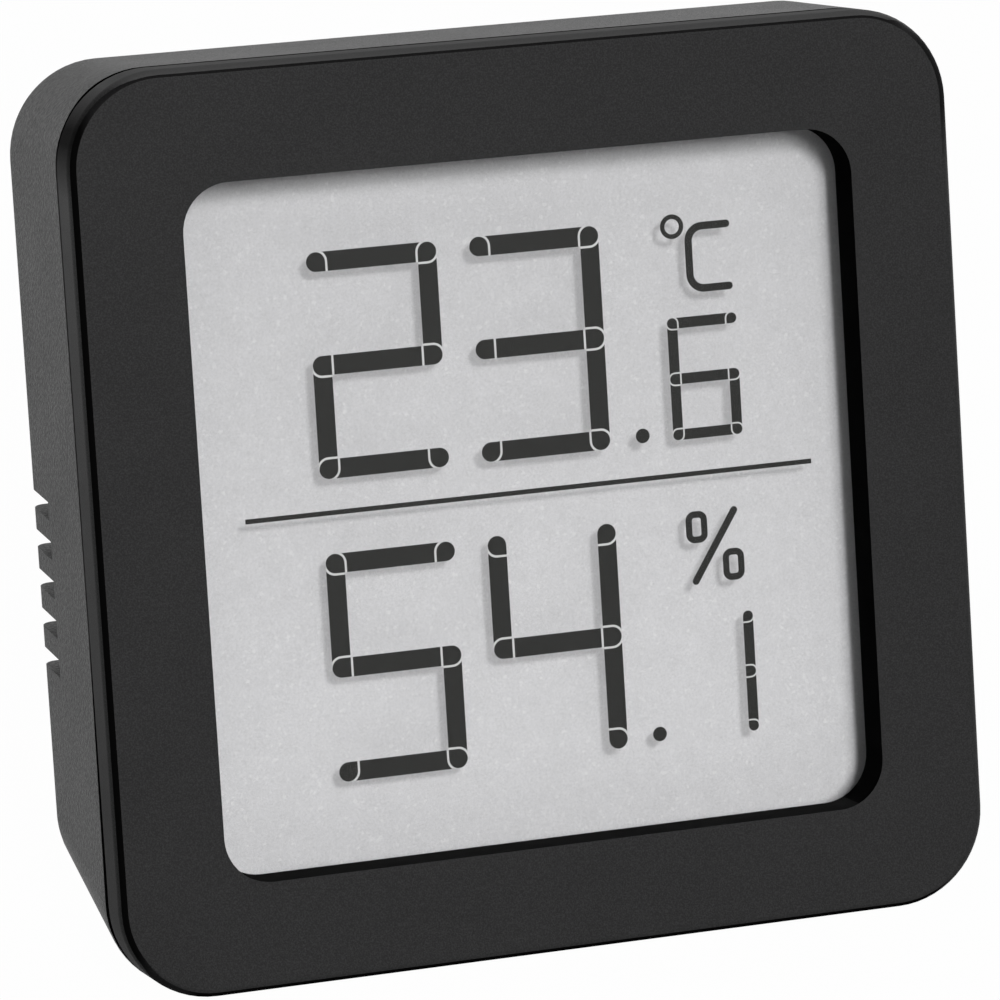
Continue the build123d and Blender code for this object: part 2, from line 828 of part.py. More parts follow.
def main():
    """Builds every piece and writes one file for each."""
    pieces = {
        "front_frame": make_front_frame(),
        "rear_shell": make_rear_shell(),
        **make_display(),
        "display_carrier": make_display_carrier(),
        "contact_strip": make_contact_strip(),
        "circuit_board": make_circuit_board(),
        "case_screws": make_case_screws(),
        "board_screws": make_board_screws(),
        "coin_cell": make_coin_cell(),
        "battery_finger_contact": make_finger_contact(),
        "battery_side_contact": make_side_contact(),
        "battery_door": make_battery_door(),
        "stand": make_stand(),
        "unit_button": make_button(),
        "switch_body": make_switch_body(),
        "switch_plunger": make_switch_plunger(),
        "climate_sensor": make_sensor(),
        "controller": make_controller(),
        "watch_crystal": make_crystal(),
        "chip_parts": make_chips(),
    }
    os.makedirs("parts", exist_ok=True)
    for name, shape in pieces.items():
        export_step(to_desk(shape), f"parts/{name}.step")
    print(f"{len(pieces)} pieces, case {case_depth:.2f} deep, stand {stand_length():.2f} long")


main()
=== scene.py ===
"""Dresses the desk temperature and humidity sensor: finishes, display, fasteners, board detail and studio."""
import json
import logging
import math
from collections.abc import Callable, Iterable, Sequence
from dataclasses import dataclass
from enum import Enum
from functools import cache
from typing import Any

import bmesh
import bpy
from mathutils import Matrix, Vector


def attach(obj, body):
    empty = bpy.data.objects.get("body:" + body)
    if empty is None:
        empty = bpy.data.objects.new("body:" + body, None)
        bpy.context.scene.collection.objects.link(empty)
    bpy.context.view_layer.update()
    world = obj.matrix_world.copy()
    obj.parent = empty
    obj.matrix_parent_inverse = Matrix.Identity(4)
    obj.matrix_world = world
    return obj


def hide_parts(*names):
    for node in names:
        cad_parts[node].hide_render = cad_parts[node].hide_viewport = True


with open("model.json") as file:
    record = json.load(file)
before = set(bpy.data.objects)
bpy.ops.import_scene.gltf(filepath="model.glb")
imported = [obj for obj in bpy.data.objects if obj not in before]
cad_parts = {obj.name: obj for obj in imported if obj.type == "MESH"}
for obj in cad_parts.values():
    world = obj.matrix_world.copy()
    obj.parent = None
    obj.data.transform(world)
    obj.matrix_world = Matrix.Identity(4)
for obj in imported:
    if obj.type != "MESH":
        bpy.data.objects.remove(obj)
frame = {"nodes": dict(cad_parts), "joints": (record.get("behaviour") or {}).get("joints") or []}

log = logging.getLogger("sensor")

MM = 0.001
RIGHT = Vector((1, 0, 0))
Colour = tuple[float, float, float]
Flat = tuple[float, float]
Box = tuple[Vector, Vector]


# Places in the case's own frame

def box(spots: Iterable[Sequence[float]]) -> Box:
    """The lowest and the highest corner round some points."""
    columns = list(zip(*spots))
    return Vector(map(min, columns)), Vector(map(max, columns))


@dataclass(frozen=True)
class Upright:
    """The case's upright frame: millimetres right, back and up from the middle of its front face."""

    back: Vector
    up: Vector
    origin: Vector

    @classmethod
    def of_frame(cls) -> "Upright":
        """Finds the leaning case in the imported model.

        Returns:
            The frame whose back runs against the unit button's travel, from the front face's middle.
        """
        press = next(joint for joint in frame["joints"] if joint["name"] == "unit_button_press")
        back = -Vector(press["axis"]).normalized()
        up = RIGHT.cross(back)
        corners = [vertex.co for vertex in frame["nodes"]["front_frame"].data.vertices]
        depth = min(corner.dot(back) for corner in corners)
        heights = [corner.dot(up) for corner in corners]
        return cls(back, up, back * depth + up * ((min(heights) + max(heights)) / 2))

    def direction(self, x: float, y: float, z: float) -> Vector:
        """A direction given right, back and up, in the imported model's axes."""
        return RIGHT * x + self.back * y + self.up * z

    def place(self, x: float, y: float, z: float) -> Vector:
        """A point given in millimetres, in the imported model's metres."""
        return self.origin + self.direction(x, y, z) * MM

    def spots(self, node: str) -> list[tuple[float, float, float]]:
        """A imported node's vertices, in millimetres right, back and up."""
        offsets = [vertex.co - self.origin for vertex in frame["nodes"][node].data.vertices]
        return [(offset.x / MM, offset.dot(self.back) / MM, offset.dot(self.up) / MM) for offset in offsets]

    def extent(self, node: str) -> Box:
        """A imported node's lowest and highest corner along the case's own axes."""
        return box(self.spots(node))


CASE = Upright.of_frame()


# Shader and geometry graphs

def maths(operation: str, swapped: bool = False) -> Callable[..., "Wire"]:
    """Makes one of a wire's methods.

    Args:
        operation: The Math node's operation.
        swapped: Whether the other operand comes first.

    Returns:
        A method that adds the node on the wire and, where there is one, on another wire or number.
    """
    def method(self: "Wire", other: Any = 0.0) -> "Wire":
        sockets = {0: other, 1: self} if swapped else {0: self, 1: other}
        return self.graph.add("ShaderNodeMath", sockets, operation=operation)

    return method


class Wire:
    """A node's output, with arithmetic that adds its own Math nodes; a comparison gives 1 or 0."""

    __add__ = __radd__ = maths("ADD")
    __sub__, __rsub__ = maths("SUBTRACT"), maths("SUBTRACT", swapped=True)
    __mul__ = __rmul__ = maths("MULTIPLY")
    __truediv__ = maths("DIVIDE")
    __gt__, __lt__ = maths("GREATER_THAN"), maths("LESS_THAN")
    greatest, least = maths("MAXIMUM"), maths("MINIMUM")
    fraction, root, size = maths("FRACT"), maths("SQRT"), maths("ABSOLUTE")

    def __init__(self, graph: "Graph", socket: bpy.types.NodeSocket) -> None:
        """Keeps the graph that the socket belongs to."""
        self.graph = graph
        self.socket = socket

    def inside(self, low: float, high: float) -> "Wire":
        """1 where this lies between low and high."""
        return (self > low) * (1 - (self > high))

    def rise(self, low: float, high: float) -> "Wire":
        """0 up to low, 1 from high on, and straight between."""
        return self.graph.add("ShaderNodeMapRange", {"Value": self, "From Min": low, "From Max": high})

    def fall(self, low: float, high: float) -> "Wire":
        """1 up to low, 0 from high on, and straight between."""
        return 1 - self.rise(low, high)

    def span(self, low: float, high: float) -> "Wire":
        """low where this is 0, high where it is 1."""
        return self * (high - low) + low

    def weighed(self, other: "Wire", share: float) -> "Wire":
        """This and other, with that share of other."""
        return self * (1 - share) + other * share

    def slant(self, other: "Wire") -> "Wire":
        """The length of the line whose legs are this and other."""
        return (self * self + other * other).root()


class Graph:
    """A node tree with one way to add a node."""

    def __init__(self, tree: bpy.types.NodeTree) -> None:
        """Starts from an empty tree."""
        self.tree = tree
        tree.nodes.clear()

    def add(
        self, kind: str, sockets: dict[str | int, Any] | None = None, out: str | int = 0, **settings: Any
    ) -> Wire:
        """Adds a node, sets it, then fills its sockets.

        Args:
            kind: The node's type.
            sockets: Numbers, colours, wires or lists of wires by the input's name or number.
            out: The output that the result stands for.
            **settings: The node's settings.

        Returns:
            The wire from that output.
        """
        node = self.tree.nodes.new(kind)
        for name, setting in settings.items():
            setattr(node, name, setting)
        for name, value in (sockets or {}).items():
            if isinstance(value, (Wire, list)):
                for wire in value if isinstance(value, list) else [value]:
                    self.tree.links.new(wire.socket, node.inputs[name])
            else:
                node.inputs[name].default_value = value
        return Wire(self, node.outputs[out] if node.outputs else None)

    def object_place(self) -> Wire:
        """Object coordinates."""
        return self.add("ShaderNodeTexCoord", out="Object")

    def case_place(self) -> tuple[Wire, Wire, Wire]:
        """Object coordinates as millimetres right, back and up in the case's frame."""
        place = self.object_place()
        right, back, up = (
            (self.add("ShaderNodeVectorMath", {0: place, 1: axis}, "Value", operation="DOT_PRODUCT")
             - CASE.origin.dot(axis)) * (1 / MM)
            for axis in (RIGHT, CASE.back, CASE.up)
        )
        return right, back, up

    def beside(self, node: str) -> tuple[Wire, Wire]:
        """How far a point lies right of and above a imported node's middle, in millimetres."""
        low, high = CASE.extent(node)
        right, _, up = self.case_place()
        return right - (low.x + high.x) / 2, up - (low.z + high.z) / 2

    def noise(self, size: float, detail: float = 2, roughness: float = 0.5) -> Wire:
        """Noise from 0 to 1 whose bumps are that many millimetres wide."""
        place = {"Vector": self.object_place(), "Scale": 1 / (size * MM)}
        return self.add("ShaderNodeTexNoise", place | {"Detail": detail, "Roughness": roughness})

    def blend(self, share: Wire | float, first: Any, second: Any) -> Wire:
        """Mixes two colours or wires of colours, with that share of the second."""
        colours = [(*c, 1) if isinstance(c, tuple) else c for c in (first, second)]
        return self.add("ShaderNodeMix", {0: share, 6: colours[0], 7: colours[1]}, 2, data_type="RGBA")

    def bump(self, height: Wire, depth: float) -> Wire:
        """A normal bumped by a height from 0 to 1, which stands for that many millimetres."""
        return self.add("ShaderNodeBump", {"Height": height, "Distance": depth * MM, "Strength": 1.0})

    def surface(self, colour: Wire, roughness: Wire, **others: Any) -> Wire:
        """A Principled shader.

        Args:
            colour: Its base colour.
            roughness: Its roughness.
            **others: Its metallic, specular, alpha or normal.

        Returns:
            The shader.
        """
        names = {"metallic": "Metallic", "specular": "Specular IOR Level", "alpha": "Alpha", "normal": "Normal"}
        sockets = {"Base Color": colour, "Roughness": roughness}
        return self.add("ShaderNodeBsdfPrincipled", sockets | {names[key]: others[key] for key in others})

    def mixed(self, share: Wire, first: Wire, second: Wire) -> Wire:
        """Mixes two shaders, with that share of the second."""
        return self.add("ShaderNodeMixShader", {0: share, 1: first, 2: second})


# Finishes

def scaled(colour: Colour, share: float) -> Colour:
    """A lighter or darker shade of a colour."""
    return tuple(channel * share for channel in colour)


@dataclass(frozen=True)
class Finish:
    """What a surface is made of and how it is worked."""

    name: str

    def paint(self, graph: Graph) -> Wire:
        """Builds the shader in a graph."""
        raise NotImplementedError

    @cache
    def material(self) -> bpy.types.Material:
        """Makes the finish's material, once."""
        made = bpy.data.materials.new(self.name)
        made.use_nodes = True
        graph = Graph(made.node_tree)
        graph.add("ShaderNodeOutputMaterial", {"Surface": self.paint(graph)})
        return made

    def dress(self, *nodes: str) -> None:
        """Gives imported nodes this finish."""
        for node in nodes:
            materials = frame["nodes"][node].data.materials
            materials.clear()
            materials.append(self.material())


@dataclass(frozen=True)
class MouldedPlastic(Finish):
    """Injection moulded plastic with the grain of a spark eroded mould."""

    colour: Colour
    light_grain: Colour
    grain: float = 0.16
    layering: float = 0.6
    relief: float = 0.012
    crest_share: float = 0.3
    roughness: float = 0.42
    roughness_spread: float = 0.10
    gloss_grain: float = 0.12
    specular: float = 0.5
    pit_depth: float = 0.1
    pit_limits: Flat = (0.36, 0.64)
    crest_limits: Flat = (0.42, 0.68)
    cloud: float = 7.0

    def paint(self, graph: Graph) -> Wire:
        """Fine grain in relief, colour and gloss, duller in its pits, with a slow cloud of handling over it."""
        fine, slow = graph.noise(self.grain, 3, self.layering), graph.noise(self.cloud)
        crest = fine.rise(*self.crest_limits)
        colour = graph.blend(crest, self.colour, self.light_grain)
        dullness = self.roughness + (slow - 0.5) * self.roughness_spread + (fine - 0.5) * self.gloss_grain
        normal = graph.bump(fine.weighed(crest, self.crest_share), self.relief)
        pits, crests = (
            graph.surface(colour, dullness, specular=self.specular * share, normal=normal)
            for share in (1 - self.pit_depth, 1 + self.pit_depth)
        )
        return graph.mixed(fine.rise(*self.pit_limits), pits, crests)


@dataclass(frozen=True)
class SeamPlastic(MouldedPlastic):
    """The rear shell's plastic, with its rim painted dark as the shade in the seam.

    The painted shade reaches back to rim_depth, further at the top and the foot. On the left, between the
    foot and the upper corner, the rim is painted lighter as the side light that reaches it.
    """

    rim_depth: float = 3.22
    # colours of the rim's painted seam shade and painted side light
    rim_shade_colour: Colour = (0.002, 0.002, 0.002)
    rim_painted_light: Colour = (0.10, 0.10, 0.10)
    rim_roughness: Flat = (0.6, 0.7)
    top_rim_shade: float = 0.35
    top_limits: Flat = (28.0, 30.0)
    low_rim_shade: float = 0.5
    low_limits: Flat = (-26.0, -9.0)
    painted_light_right: Flat = (-29.5, -28.0)
    painted_light_low: Flat = (-9.0, -6.5)
    painted_light_high: Flat = (24.0, 26.0)

    def paint(self, graph: Graph) -> Wire:
        """The grained shell, mixed with the rim's painted shade and painted light."""
        right, back, up = graph.case_place()
        # painted light: the rim is lighter on the left, between the foot and the upper corner
        lit = right.fall(*self.painted_light_right) * up.rise(*self.painted_light_low) * up.fall(*self.painted_light_high)
        dullness = graph.noise(self.grain).span(*self.rim_roughness)
        rim = graph.surface(graph.blend(lit, self.rim_shade_colour, self.rim_painted_light), dullness, specular=0.0)
        # the painted seam shade reaches further back at the top and the foot
        shade_widening = up.rise(*self.top_limits) * self.top_rim_shade + up.fall(*self.low_limits) * self.low_rim_shade
        return graph.mixed(back - shade_widening < self.rim_depth, super().paint(graph), rim)


@dataclass(frozen=True)
class FramePlastic(MouldedPlastic):
    """The front frame's matt plastic, with a painted dark reflection as a line along its edge, and plain
    window walls painted with their shade and light.

    The line runs back from line_start. Its reach is a depth of its own on the level sides, the left side,
    the foot and the upper right. The corner is a painted dark reflection round the upper left, painted
    shade darkens the left side downwards, and the band is a painted highlight, a pale streak along the top.
    """

    # painted shade and dark reflection: the colour of the edge line, the upper left corner and the left side
    painted_shade_colour: Colour = (0.0022, 0.0022, 0.0022)
    line_start: float = 0.004
    level_reach: float = 0.05
    level_share: float = 0.75
    side_reach: float = 0.20
    side_limits: Flat = (-30.0, -26.0)
    foot_start: float = 0.06
    foot_reach: float = 1.0
    foot_limits: Flat = (-29.0, -28.0)
    upper_reach: float = 0.5
    upper_limits: Flat = (20.0, 24.0)
    right_limits: Flat = (27.0, 29.5)
    corner: Flat = (-30.8, 27.1)
    corner_shade_limits: Flat = (0.6, 4.2)
    corner_shade_share: float = 0.85
    shade_limits: Flat = (-22.0, 24.0)
    shade_share: float = 0.3
    # painted highlight: the pale streak along the top
    highlight_colour: Colour = (0.085, 0.085, 0.085)
    highlight_limits: Flat = (29.9, 30.6)
    highlight_share: float = 0.55
    window_sides: Flat = (-24.0, 24.2)
    window_levels: Flat = (-24.1, 23.6)
    # the window walls' painted shade, and the lighter painted light on the ledge at their foot
    wall_shade_colour: Colour = (0.0035, 0.0035, 0.0035)
    ledge_light_colour: Colour = (0.0150, 0.0150, 0.0150)
    ledge_top: float = -23.35
    plain_roughness: Flat = (0.55, 0.75)

    def painted_edge_line(self, right: Wire, back: Wire, up: Wire) -> Wire:
        """The share of the painted dark reflection along the front edge."""
        side = right.fall(*self.side_limits)
        foot = up.fall(*self.foot_limits) * (1 - side)
        upper = right.rise(*self.right_limits) * up.rise(*self.upper_limits)
        reach = self.level_reach + side * (self.side_reach - self.level_reach) + upper * self.upper_reach
        from_front = back - foot * self.foot_start
        line = (from_front > self.line_start) * (reach + foot * self.foot_reach > from_front)
        kept = right.fall(*self.right_limits).greatest(upper)
        return line * kept * side.greatest(foot).greatest(self.level_share)

    def paint(self, graph: Graph) -> Wire:
        """The matt face and sides, mixed with the plain parts painted in shade and dark reflection, and the painted
        highlight along the top.
        """
        right, back, up = graph.case_place()
        behind = back > self.line_start
        window = right.inside(*self.window_sides) * up.inside(*self.window_levels) * behind
        # painted dark reflection round the upper left corner
        corner = (right - self.corner[0]).slant(up - self.corner[1]).fall(*self.corner_shade_limits)
        # painted shade that darkens the left side downwards
        shade = right.fall(*self.side_limits) * up.fall(*self.shade_limits) * self.shade_share
        soft = (corner * self.corner_shade_share).greatest(shade) * behind
        dark = window.greatest(self.painted_edge_line(right, back, up)).greatest(soft)
        # painted highlight along the top of the frame
        band = up.rise(*self.highlight_limits) * (back > self.level_reach) * self.highlight_share
        # window walls in painted shade, the ledge at their foot in painted light
        walls = graph.blend(up > self.ledge_top, self.ledge_light_colour, self.wall_shade_colour)
        edges = graph.blend(dark > band, self.highlight_colour, self.painted_shade_colour)
        dullness = graph.noise(self.grain).span(*self.plain_roughness)
        plain = graph.surface(graph.blend(window, edges, walls), dullness, specular=0.0)
        return graph.mixed(dark.greatest(band), super().paint(graph), plain)


@dataclass(frozen=True)
class ClearLayer(Finish):
    """A clear sheet that light passes, with a trace of haze."""

    colour: Colour = (0.55, 0.60, 0.57)
    cover: Flat = (0.0096, 0.0144)
    roughness: Flat = (0.08, 0.13)
    haze: float = 0.4
    shade: float = 0.9

    def paint(self, graph: Graph) -> Wire:
        """Haze and fine waves over a nearly clear sheet."""
        cloud = graph.noise(self.haze)
        colour = graph.blend(cloud, self.colour, scaled(self.colour, self.shade))
        return graph.surface(colour, cloud.span(*self.roughness), alpha=cloud.span(*self.cover))


@dataclass(frozen=True)
class ReflectorFoil(Finish):
    """The pale matt foil behind the cell, with its fine sparkle, and painted shade that makes it a little dimmer at
    the top.
    """

    colour: Colour = (0.742, 0.740, 0.754)
    spread: float = 0.27
    grain: float = 0.15
    layering: float = 0.7
    patch: float = 1.4
    patch_share: float = 0.2
    speck_size: float = 0.20
    speck_limits: Flat = (0.80, 0.92)
    speck_share: float = 0.4
    speck_colour: Colour = (0.96, 0.96, 0.96)
    # painted shade that dims the foil towards the top
    top_shade: float = 0.12
    top_shade_limits: Flat = (-20.0, 22.0)
    roughness: Flat = (0.45, 0.65)
    specular: float = 0.1
    relief: float = 0.004

    def paint(self, graph: Graph) -> Wire:
        """Light and dark grains of about a tenth of a millimetre with bright specks."""
        _, _, up = graph.case_place()
        fine, slow = graph.noise(self.grain, 2, self.layering), graph.noise(self.patch)
        cells = {"Vector": graph.object_place(), "Scale": 1 / (self.speck_size * MM)}
        speck = graph.add("ShaderNodeTexVoronoi", cells, "Color").rise(*self.speck_limits) * self.speck_share
        dark, light = scaled(self.colour, 1 - self.spread), scaled(self.colour, 1 + self.spread)
        grains = graph.blend(fine.weighed(slow, self.patch_share), dark, light)
        lit = graph.blend(speck, grains, self.speck_colour)
        # painted shade: the foil is darkened towards the top
        colour = graph.blend(up.rise(*self.top_shade_limits) * self.top_shade, lit, (0.0, 0.0, 0.0))
        normal = graph.bump(fine, self.relief)
        return graph.surface(colour, fine.span(*self.roughness), specular=self.specular, normal=normal)


@dataclass(frozen=True)
class CellLayer(Finish):
    """What stands between the panes: a driven segment, or the pale line between two, a plate of painted light in the
    colour of the lit foil.
    """

    colour: Colour
    mottle: Colour
    grain: float
    layering: float
    specular: float
    roughness: Flat = (0.5, 0.6)

    def paint(self, graph: Graph) -> Wire:
        """One colour, mottled with the other."""
        fine = graph.noise(self.grain, 2, self.layering)
        colour = graph.blend(fine, self.colour, self.mottle)
        return graph.surface(colour, fine.span(*self.roughness), specular=self.specular)


@dataclass(frozen=True)
class PlatedMetal(Finish):
    """Plated sheet or wire, with the fine lines of its rolling."""

    colour: Colour
    roughness: float = 0.28
    line_pitch: float = 0.06
    line_length: float = 3.0
    line_depth: float = 0.002
    line_shade: float = 0.3
    line_roughness: float = 0.12
    wear: float = 2.4
    wear_shade: float = 0.5
    wear_roughness: float = 0.18
    shade: float = 0.72

    def lines(self, graph: Graph) -> Wire:
        """Fine parallel lines along the object's X."""
        stretch = tuple(1 / (size * MM) for size in (self.line_length, self.line_pitch, self.line_pitch))
        place = graph.add("ShaderNodeVectorMath", {0: graph.object_place(), 1: stretch}, operation="MULTIPLY")
        return graph.add("ShaderNodeTexNoise", {"Vector": place, "Scale": 1.0, "Detail": 2})

    def paint(self, graph: Graph) -> Wire:
        """Rolled metal, a little duller and darker where hands and tools have been."""
        lines, slow = self.lines(graph), graph.noise(self.wear, 3)
        dimmed = slow * self.wear_shade + lines * self.line_shade
        colour = graph.blend(dimmed, self.colour, scaled(self.colour, self.shade))
        dullness = self.roughness + (slow - 0.5) * self.wear_roughness + (lines - 0.5) * self.line_roughness
        return graph.surface(colour, dullness, metallic=1.0, normal=graph.bump(lines, self.line_depth))


@dataclass(frozen=True)
class TurnedMetal(PlatedMetal):
    """A pressed can with rings round its axis and a dark sealing ring at its rim."""

    node: str = "coin_cell"
    seal_width: float = 0.35
    seal_inset: float = 1.0
    seal_dark: Colour = (0.02, 0.02, 0.022)
    seal_light: Colour = (0.04, 0.04, 0.042)
    seal_grain: float = 0.3
    seal_wear: float = 0.5
    seal_roughness: Flat = (0.6, 0.7)
    ring_pitch: float = 0.14

    def lines(self, graph: Graph) -> Wire:
        """Rings round the axis."""
        across, along = graph.beside(self.node)
        turns = across.slant(along) * (1 / self.ring_pitch)
        return graph.add("ShaderNodeTexNoise", {"W": turns, "Scale": 1.0, "Detail": 2}, noise_dimensions="1D")

    def paint(self, graph: Graph) -> Wire:
        """The can, mixed with the seal between its two halves."""
        low, high = CASE.extent(self.node)
        across, along = graph.beside(self.node)
        _, back, _ = graph.case_place()
        rim = (high.x - low.x) / 2 - self.seal_inset
        ring = across.slant(along).inside(rim - self.seal_width / 2, rim + self.seal_width)
        colour = graph.blend(graph.noise(self.seal_grain), self.seal_dark, self.seal_light)
        rubber = graph.surface(colour, graph.noise(self.seal_wear).span(*self.seal_roughness))
        return graph.mixed(ring * (low.y + self.seal_width > back), super().paint(graph), rubber)


@dataclass(frozen=True)
class BoardLaminate(Finish):
    """Glass laminate under green solder resist, with copper runs, vias and the strip's gold pads; the via holes are
    painted dark as the shade inside them.
    """

    resist: Colour = (0.006, 0.078, 0.026)
    covered_copper: Colour = (0.018, 0.175, 0.052)
    gold: Colour = (0.78, 0.52, 0.20)
    tin: Colour = (0.62, 0.62, 0.60)
    cut_light: Colour = (0.30, 0.27, 0.16)
    cut_dark: Colour = (0.22, 0.20, 0.12)
    # painted shade inside the via holes
    hole_shade_colour: Colour = (0.010, 0.012, 0.010)
    grain: float = 0.5
    grain_share: float = 0.2
    roughness: Flat = (0.34, 0.46)
    metal_gloss: float = 0.08
    specular: float = 0.25
    relief: float = 0.02
    run_pitch: float = 0.8
    run_part: Flat = (0.30, 0.62)
    patch: float = 5.6
    level_chance: float = 0.40
    upright_chance: float = 0.74
    wide_chance: float = 0.82
    via_spacing: float = 3.1
    via_scatter: float = 0.7
    via_radius: float = 0.32
    hole_radius: float = 0.14
    pad_pitch: float = 0.9
    pad_part: Flat = (0.22, 0.78)
    pad_margin: float = 0.15
    pad_depth: float = 0.05
    skin: float = 0.02

    def runs(self, graph: Graph, right: Wire, up: Wire) -> Wire:
        """1 on a copper run: level in some patches, upright in others, none in a few, all copper in the rest."""
        place = graph.add("ShaderNodeCombineXYZ", {0: right, 1: up, 2: 0.0})
        steps = {0: place, 1: (self.patch, self.patch, 1.0)}
        snapped = graph.add("ShaderNodeVectorMath", steps, operation="SNAP")
        chance = graph.add("ShaderNodeTexWhiteNoise", {"Vector": snapped}, "Value", noise_dimensions="3D")
        level, upright = (
            (way * (1 / self.run_pitch)).fraction().inside(*self.run_part) for way in (up, right)
        )
        narrow = level * (1 - (chance > self.level_chance))
        narrow = narrow + upright * chance.inside(self.level_chance, self.upright_chance)
        return narrow.greatest(chance > self.wide_chance)

    def paint(self, graph: Graph) -> Wire:
        """Resist over laminate and copper, with bare metal at the vias and pads."""
        right, back, up = graph.case_place()
        low, high = CASE.extent("contact_strip")
        board_low, board_high = CASE.extent("circuit_board")
        fine, runs = graph.noise(self.grain, 3), self.runs(graph, right, up)
        spots = {"Vector": graph.object_place(), "Scale": 1 / (self.via_spacing * MM), "Randomness": self.via_scatter}
        distance = graph.add("ShaderNodeTexVoronoi", spots, "Distance") * self.via_spacing
        hole = self.hole_radius > distance
        via = (self.via_radius > distance) * (1 - hole)
        row = up.inside(low.z + self.pad_margin, high.z - self.pad_margin) * right.inside(low.x, high.x)
        row = row * (board_low.y + self.pad_depth > back)
        pads = row * (right * (1 / self.pad_pitch)).fraction().inside(*self.pad_part)
        skin = (back > board_high.y - self.skin).greatest(board_low.y + self.skin > back)
        metal = via.greatest(pads) * skin
        green = graph.blend(runs.weighed(fine, self.grain_share), self.resist, self.covered_copper)
        cut = graph.blend(fine, self.cut_light, self.cut_dark)
        # painted shade: the via holes are dark as the shade inside them
        board = graph.blend(skin, cut, graph.blend(hole, green, self.hole_shade_colour))
        colour = graph.blend(metal, board, graph.blend(pads, self.tin, self.gold))
        normal = graph.bump(runs.greatest(metal), self.relief)
        dullness = fine.span(*self.roughness) - metal * self.metal_gloss
        return graph.surface(colour, dullness, metallic=metal, specular=self.specular, normal=normal)


@dataclass(frozen=True)
class CastResin(Finish):
    """A drop of black resin over a bare chip."""

    colour: Colour = (0.012, 0.012, 0.013)
    light: float = 1.7
    wave: float = 2.2
    wave_roughness: float = 0.12
    grain: float = 0.2
    grain_roughness: float = 0.05
    grain_share: float = 0.1
    relief: float = 0.06
    roughness: float = 0.16

    def paint(self, graph: Graph) -> Wire:
        """Glossy, with the slow waves of resin that set as it ran."""
        slow, fine = graph.noise(self.wave), graph.noise(self.grain)
        colour = graph.blend(fine, self.colour, scaled(self.colour, self.light))
        dullness = self.roughness + slow * self.wave_roughness + fine * self.grain_roughness
        normal = graph.bump(slow.weighed(fine, self.grain_share), self.relief)
        return graph.surface(colour, dullness, normal=normal)


@dataclass(frozen=True)
class InlaidBody(Finish):
    """A small grained body with an inlay, each from the colour of its grain's pits to that of its crests.

    The inlay's roughness comes on top of the body's, and its step is its share of the relief.
    """

    node: str
    body: tuple[Colour, Colour]
    inlay: tuple[Colour, Colour]
    grain: float
    relief: float
    roughness: float
    inlay_roughness: float
    grain_roughness: float
    detail: int = 3
    metal: float = 0.0
    step: float = 0.0

    def inlaid(self, graph: Graph) -> Wire:
        """1 on the inlay."""
        raise NotImplementedError

    def paint(self, graph: Graph) -> Wire:
        """The body, mixed with its inlay."""
        fine, inlay = graph.noise(self.grain, self.detail), self.inlaid(graph)
        colour = graph.blend(inlay, graph.blend(fine, *self.body), graph.blend(fine, *self.inlay))
        dullness = self.roughness + inlay * self.inlay_roughness + fine * self.grain_roughness
        normal = graph.bump(fine.weighed(inlay, self.step), self.relief)
        return graph.surface(colour, dullness, metallic=inlay * self.metal, normal=normal)


@dataclass(frozen=True)
class StripedRubber(InlaidBody):
    """The contact strip: dark layers that conduct between pale ones that don't, between two pale walls."""

    pitch: float = 0.36
    wall: float = 0.32

    def inlaid(self, graph: Graph) -> Wire:
        """1 on the conducting layers of the strip's core."""
        low, high = CASE.extent(self.node)
        right, _, up = graph.case_place()
        return ((right * (1 / self.pitch)).fraction() > 0.5) * up.inside(low.z + self.wall, high.z - self.wall)


@dataclass(frozen=True)
class SwitchShell(InlaidBody):
    """The push switch's black body under its tinned cover, with a riveted peg in each corner."""

    cover: float = 0.3
    peg_place: float = 2.15
    peg_radius: float = 0.45

    def inlaid(self, graph: Graph) -> Wire:
        """1 on the cover, apart from its pegs."""
        _, high = CASE.extent(self.node)
        _, back, _ = graph.case_place()
        aside, above = (way.size() - self.peg_place for way in graph.beside(self.node))
        return (back > high.y - self.cover) * (1 - (self.peg_radius > aside.slant(above)))


@dataclass(frozen=True)
class SensorShell(InlaidBody):
    """The measuring chip's dark body, with a pale membrane at the bottom of its port."""

    port_radius: float = 0.62
    membrane_depth: float = 0.42
    membrane_floor: float = 0.1

    def inlaid(self, graph: Graph) -> Wire:
        """1 on the membrane."""
        low, high = CASE.extent(self.node)
        _, back, _ = graph.case_place()
        across, along = graph.beside(self.node)
        depths = back.inside(low.y + self.membrane_floor, high.y - self.membrane_depth)
        return (self.port_radius > across.slant(along)) * depths


BLACK_FRAME = FramePlastic(
    "fine matt black plastic", (0.0080, 0.0080, 0.0082), (0.0200, 0.0200, 0.0205), grain=0.11, relief=0.012,
    roughness=0.68, specular=0.182,
)
BLACK_SHELL = SeamPlastic(
    "spark textured black plastic", (0.0065, 0.0065, 0.0067), (0.0220, 0.0220, 0.0225), grain=0.24, relief=0.06,
    roughness=0.48, specular=0.240, gloss_grain=0.2, pit_depth=0.6,
)
BLACK_BUTTON = MouldedPlastic(
    "satin black button plastic", (0.012, 0.012, 0.0125), (0.018, 0.018, 0.019), grain=0.10, relief=0.003,
    roughness=0.34,
)
CARRIER_PLASTIC = MouldedPlastic(
    "pale carrier plastic", (0.60, 0.60, 0.58), (0.66, 0.66, 0.64), grain=0.3, relief=0.006, roughness=0.46,
)
PLUNGER_PLASTIC = MouldedPlastic(
    "brown plunger plastic", (0.060, 0.038, 0.026), (0.075, 0.048, 0.033), grain=0.15, relief=0.004,
    roughness=0.4,
)
CHIP_CERAMIC = MouldedPlastic(
    "fired chip ceramic", (0.085, 0.055, 0.036), (0.150, 0.100, 0.066), grain=0.09, relief=0.004, roughness=0.5,
)
CLEAR_GLASS = ClearLayer("display glass")
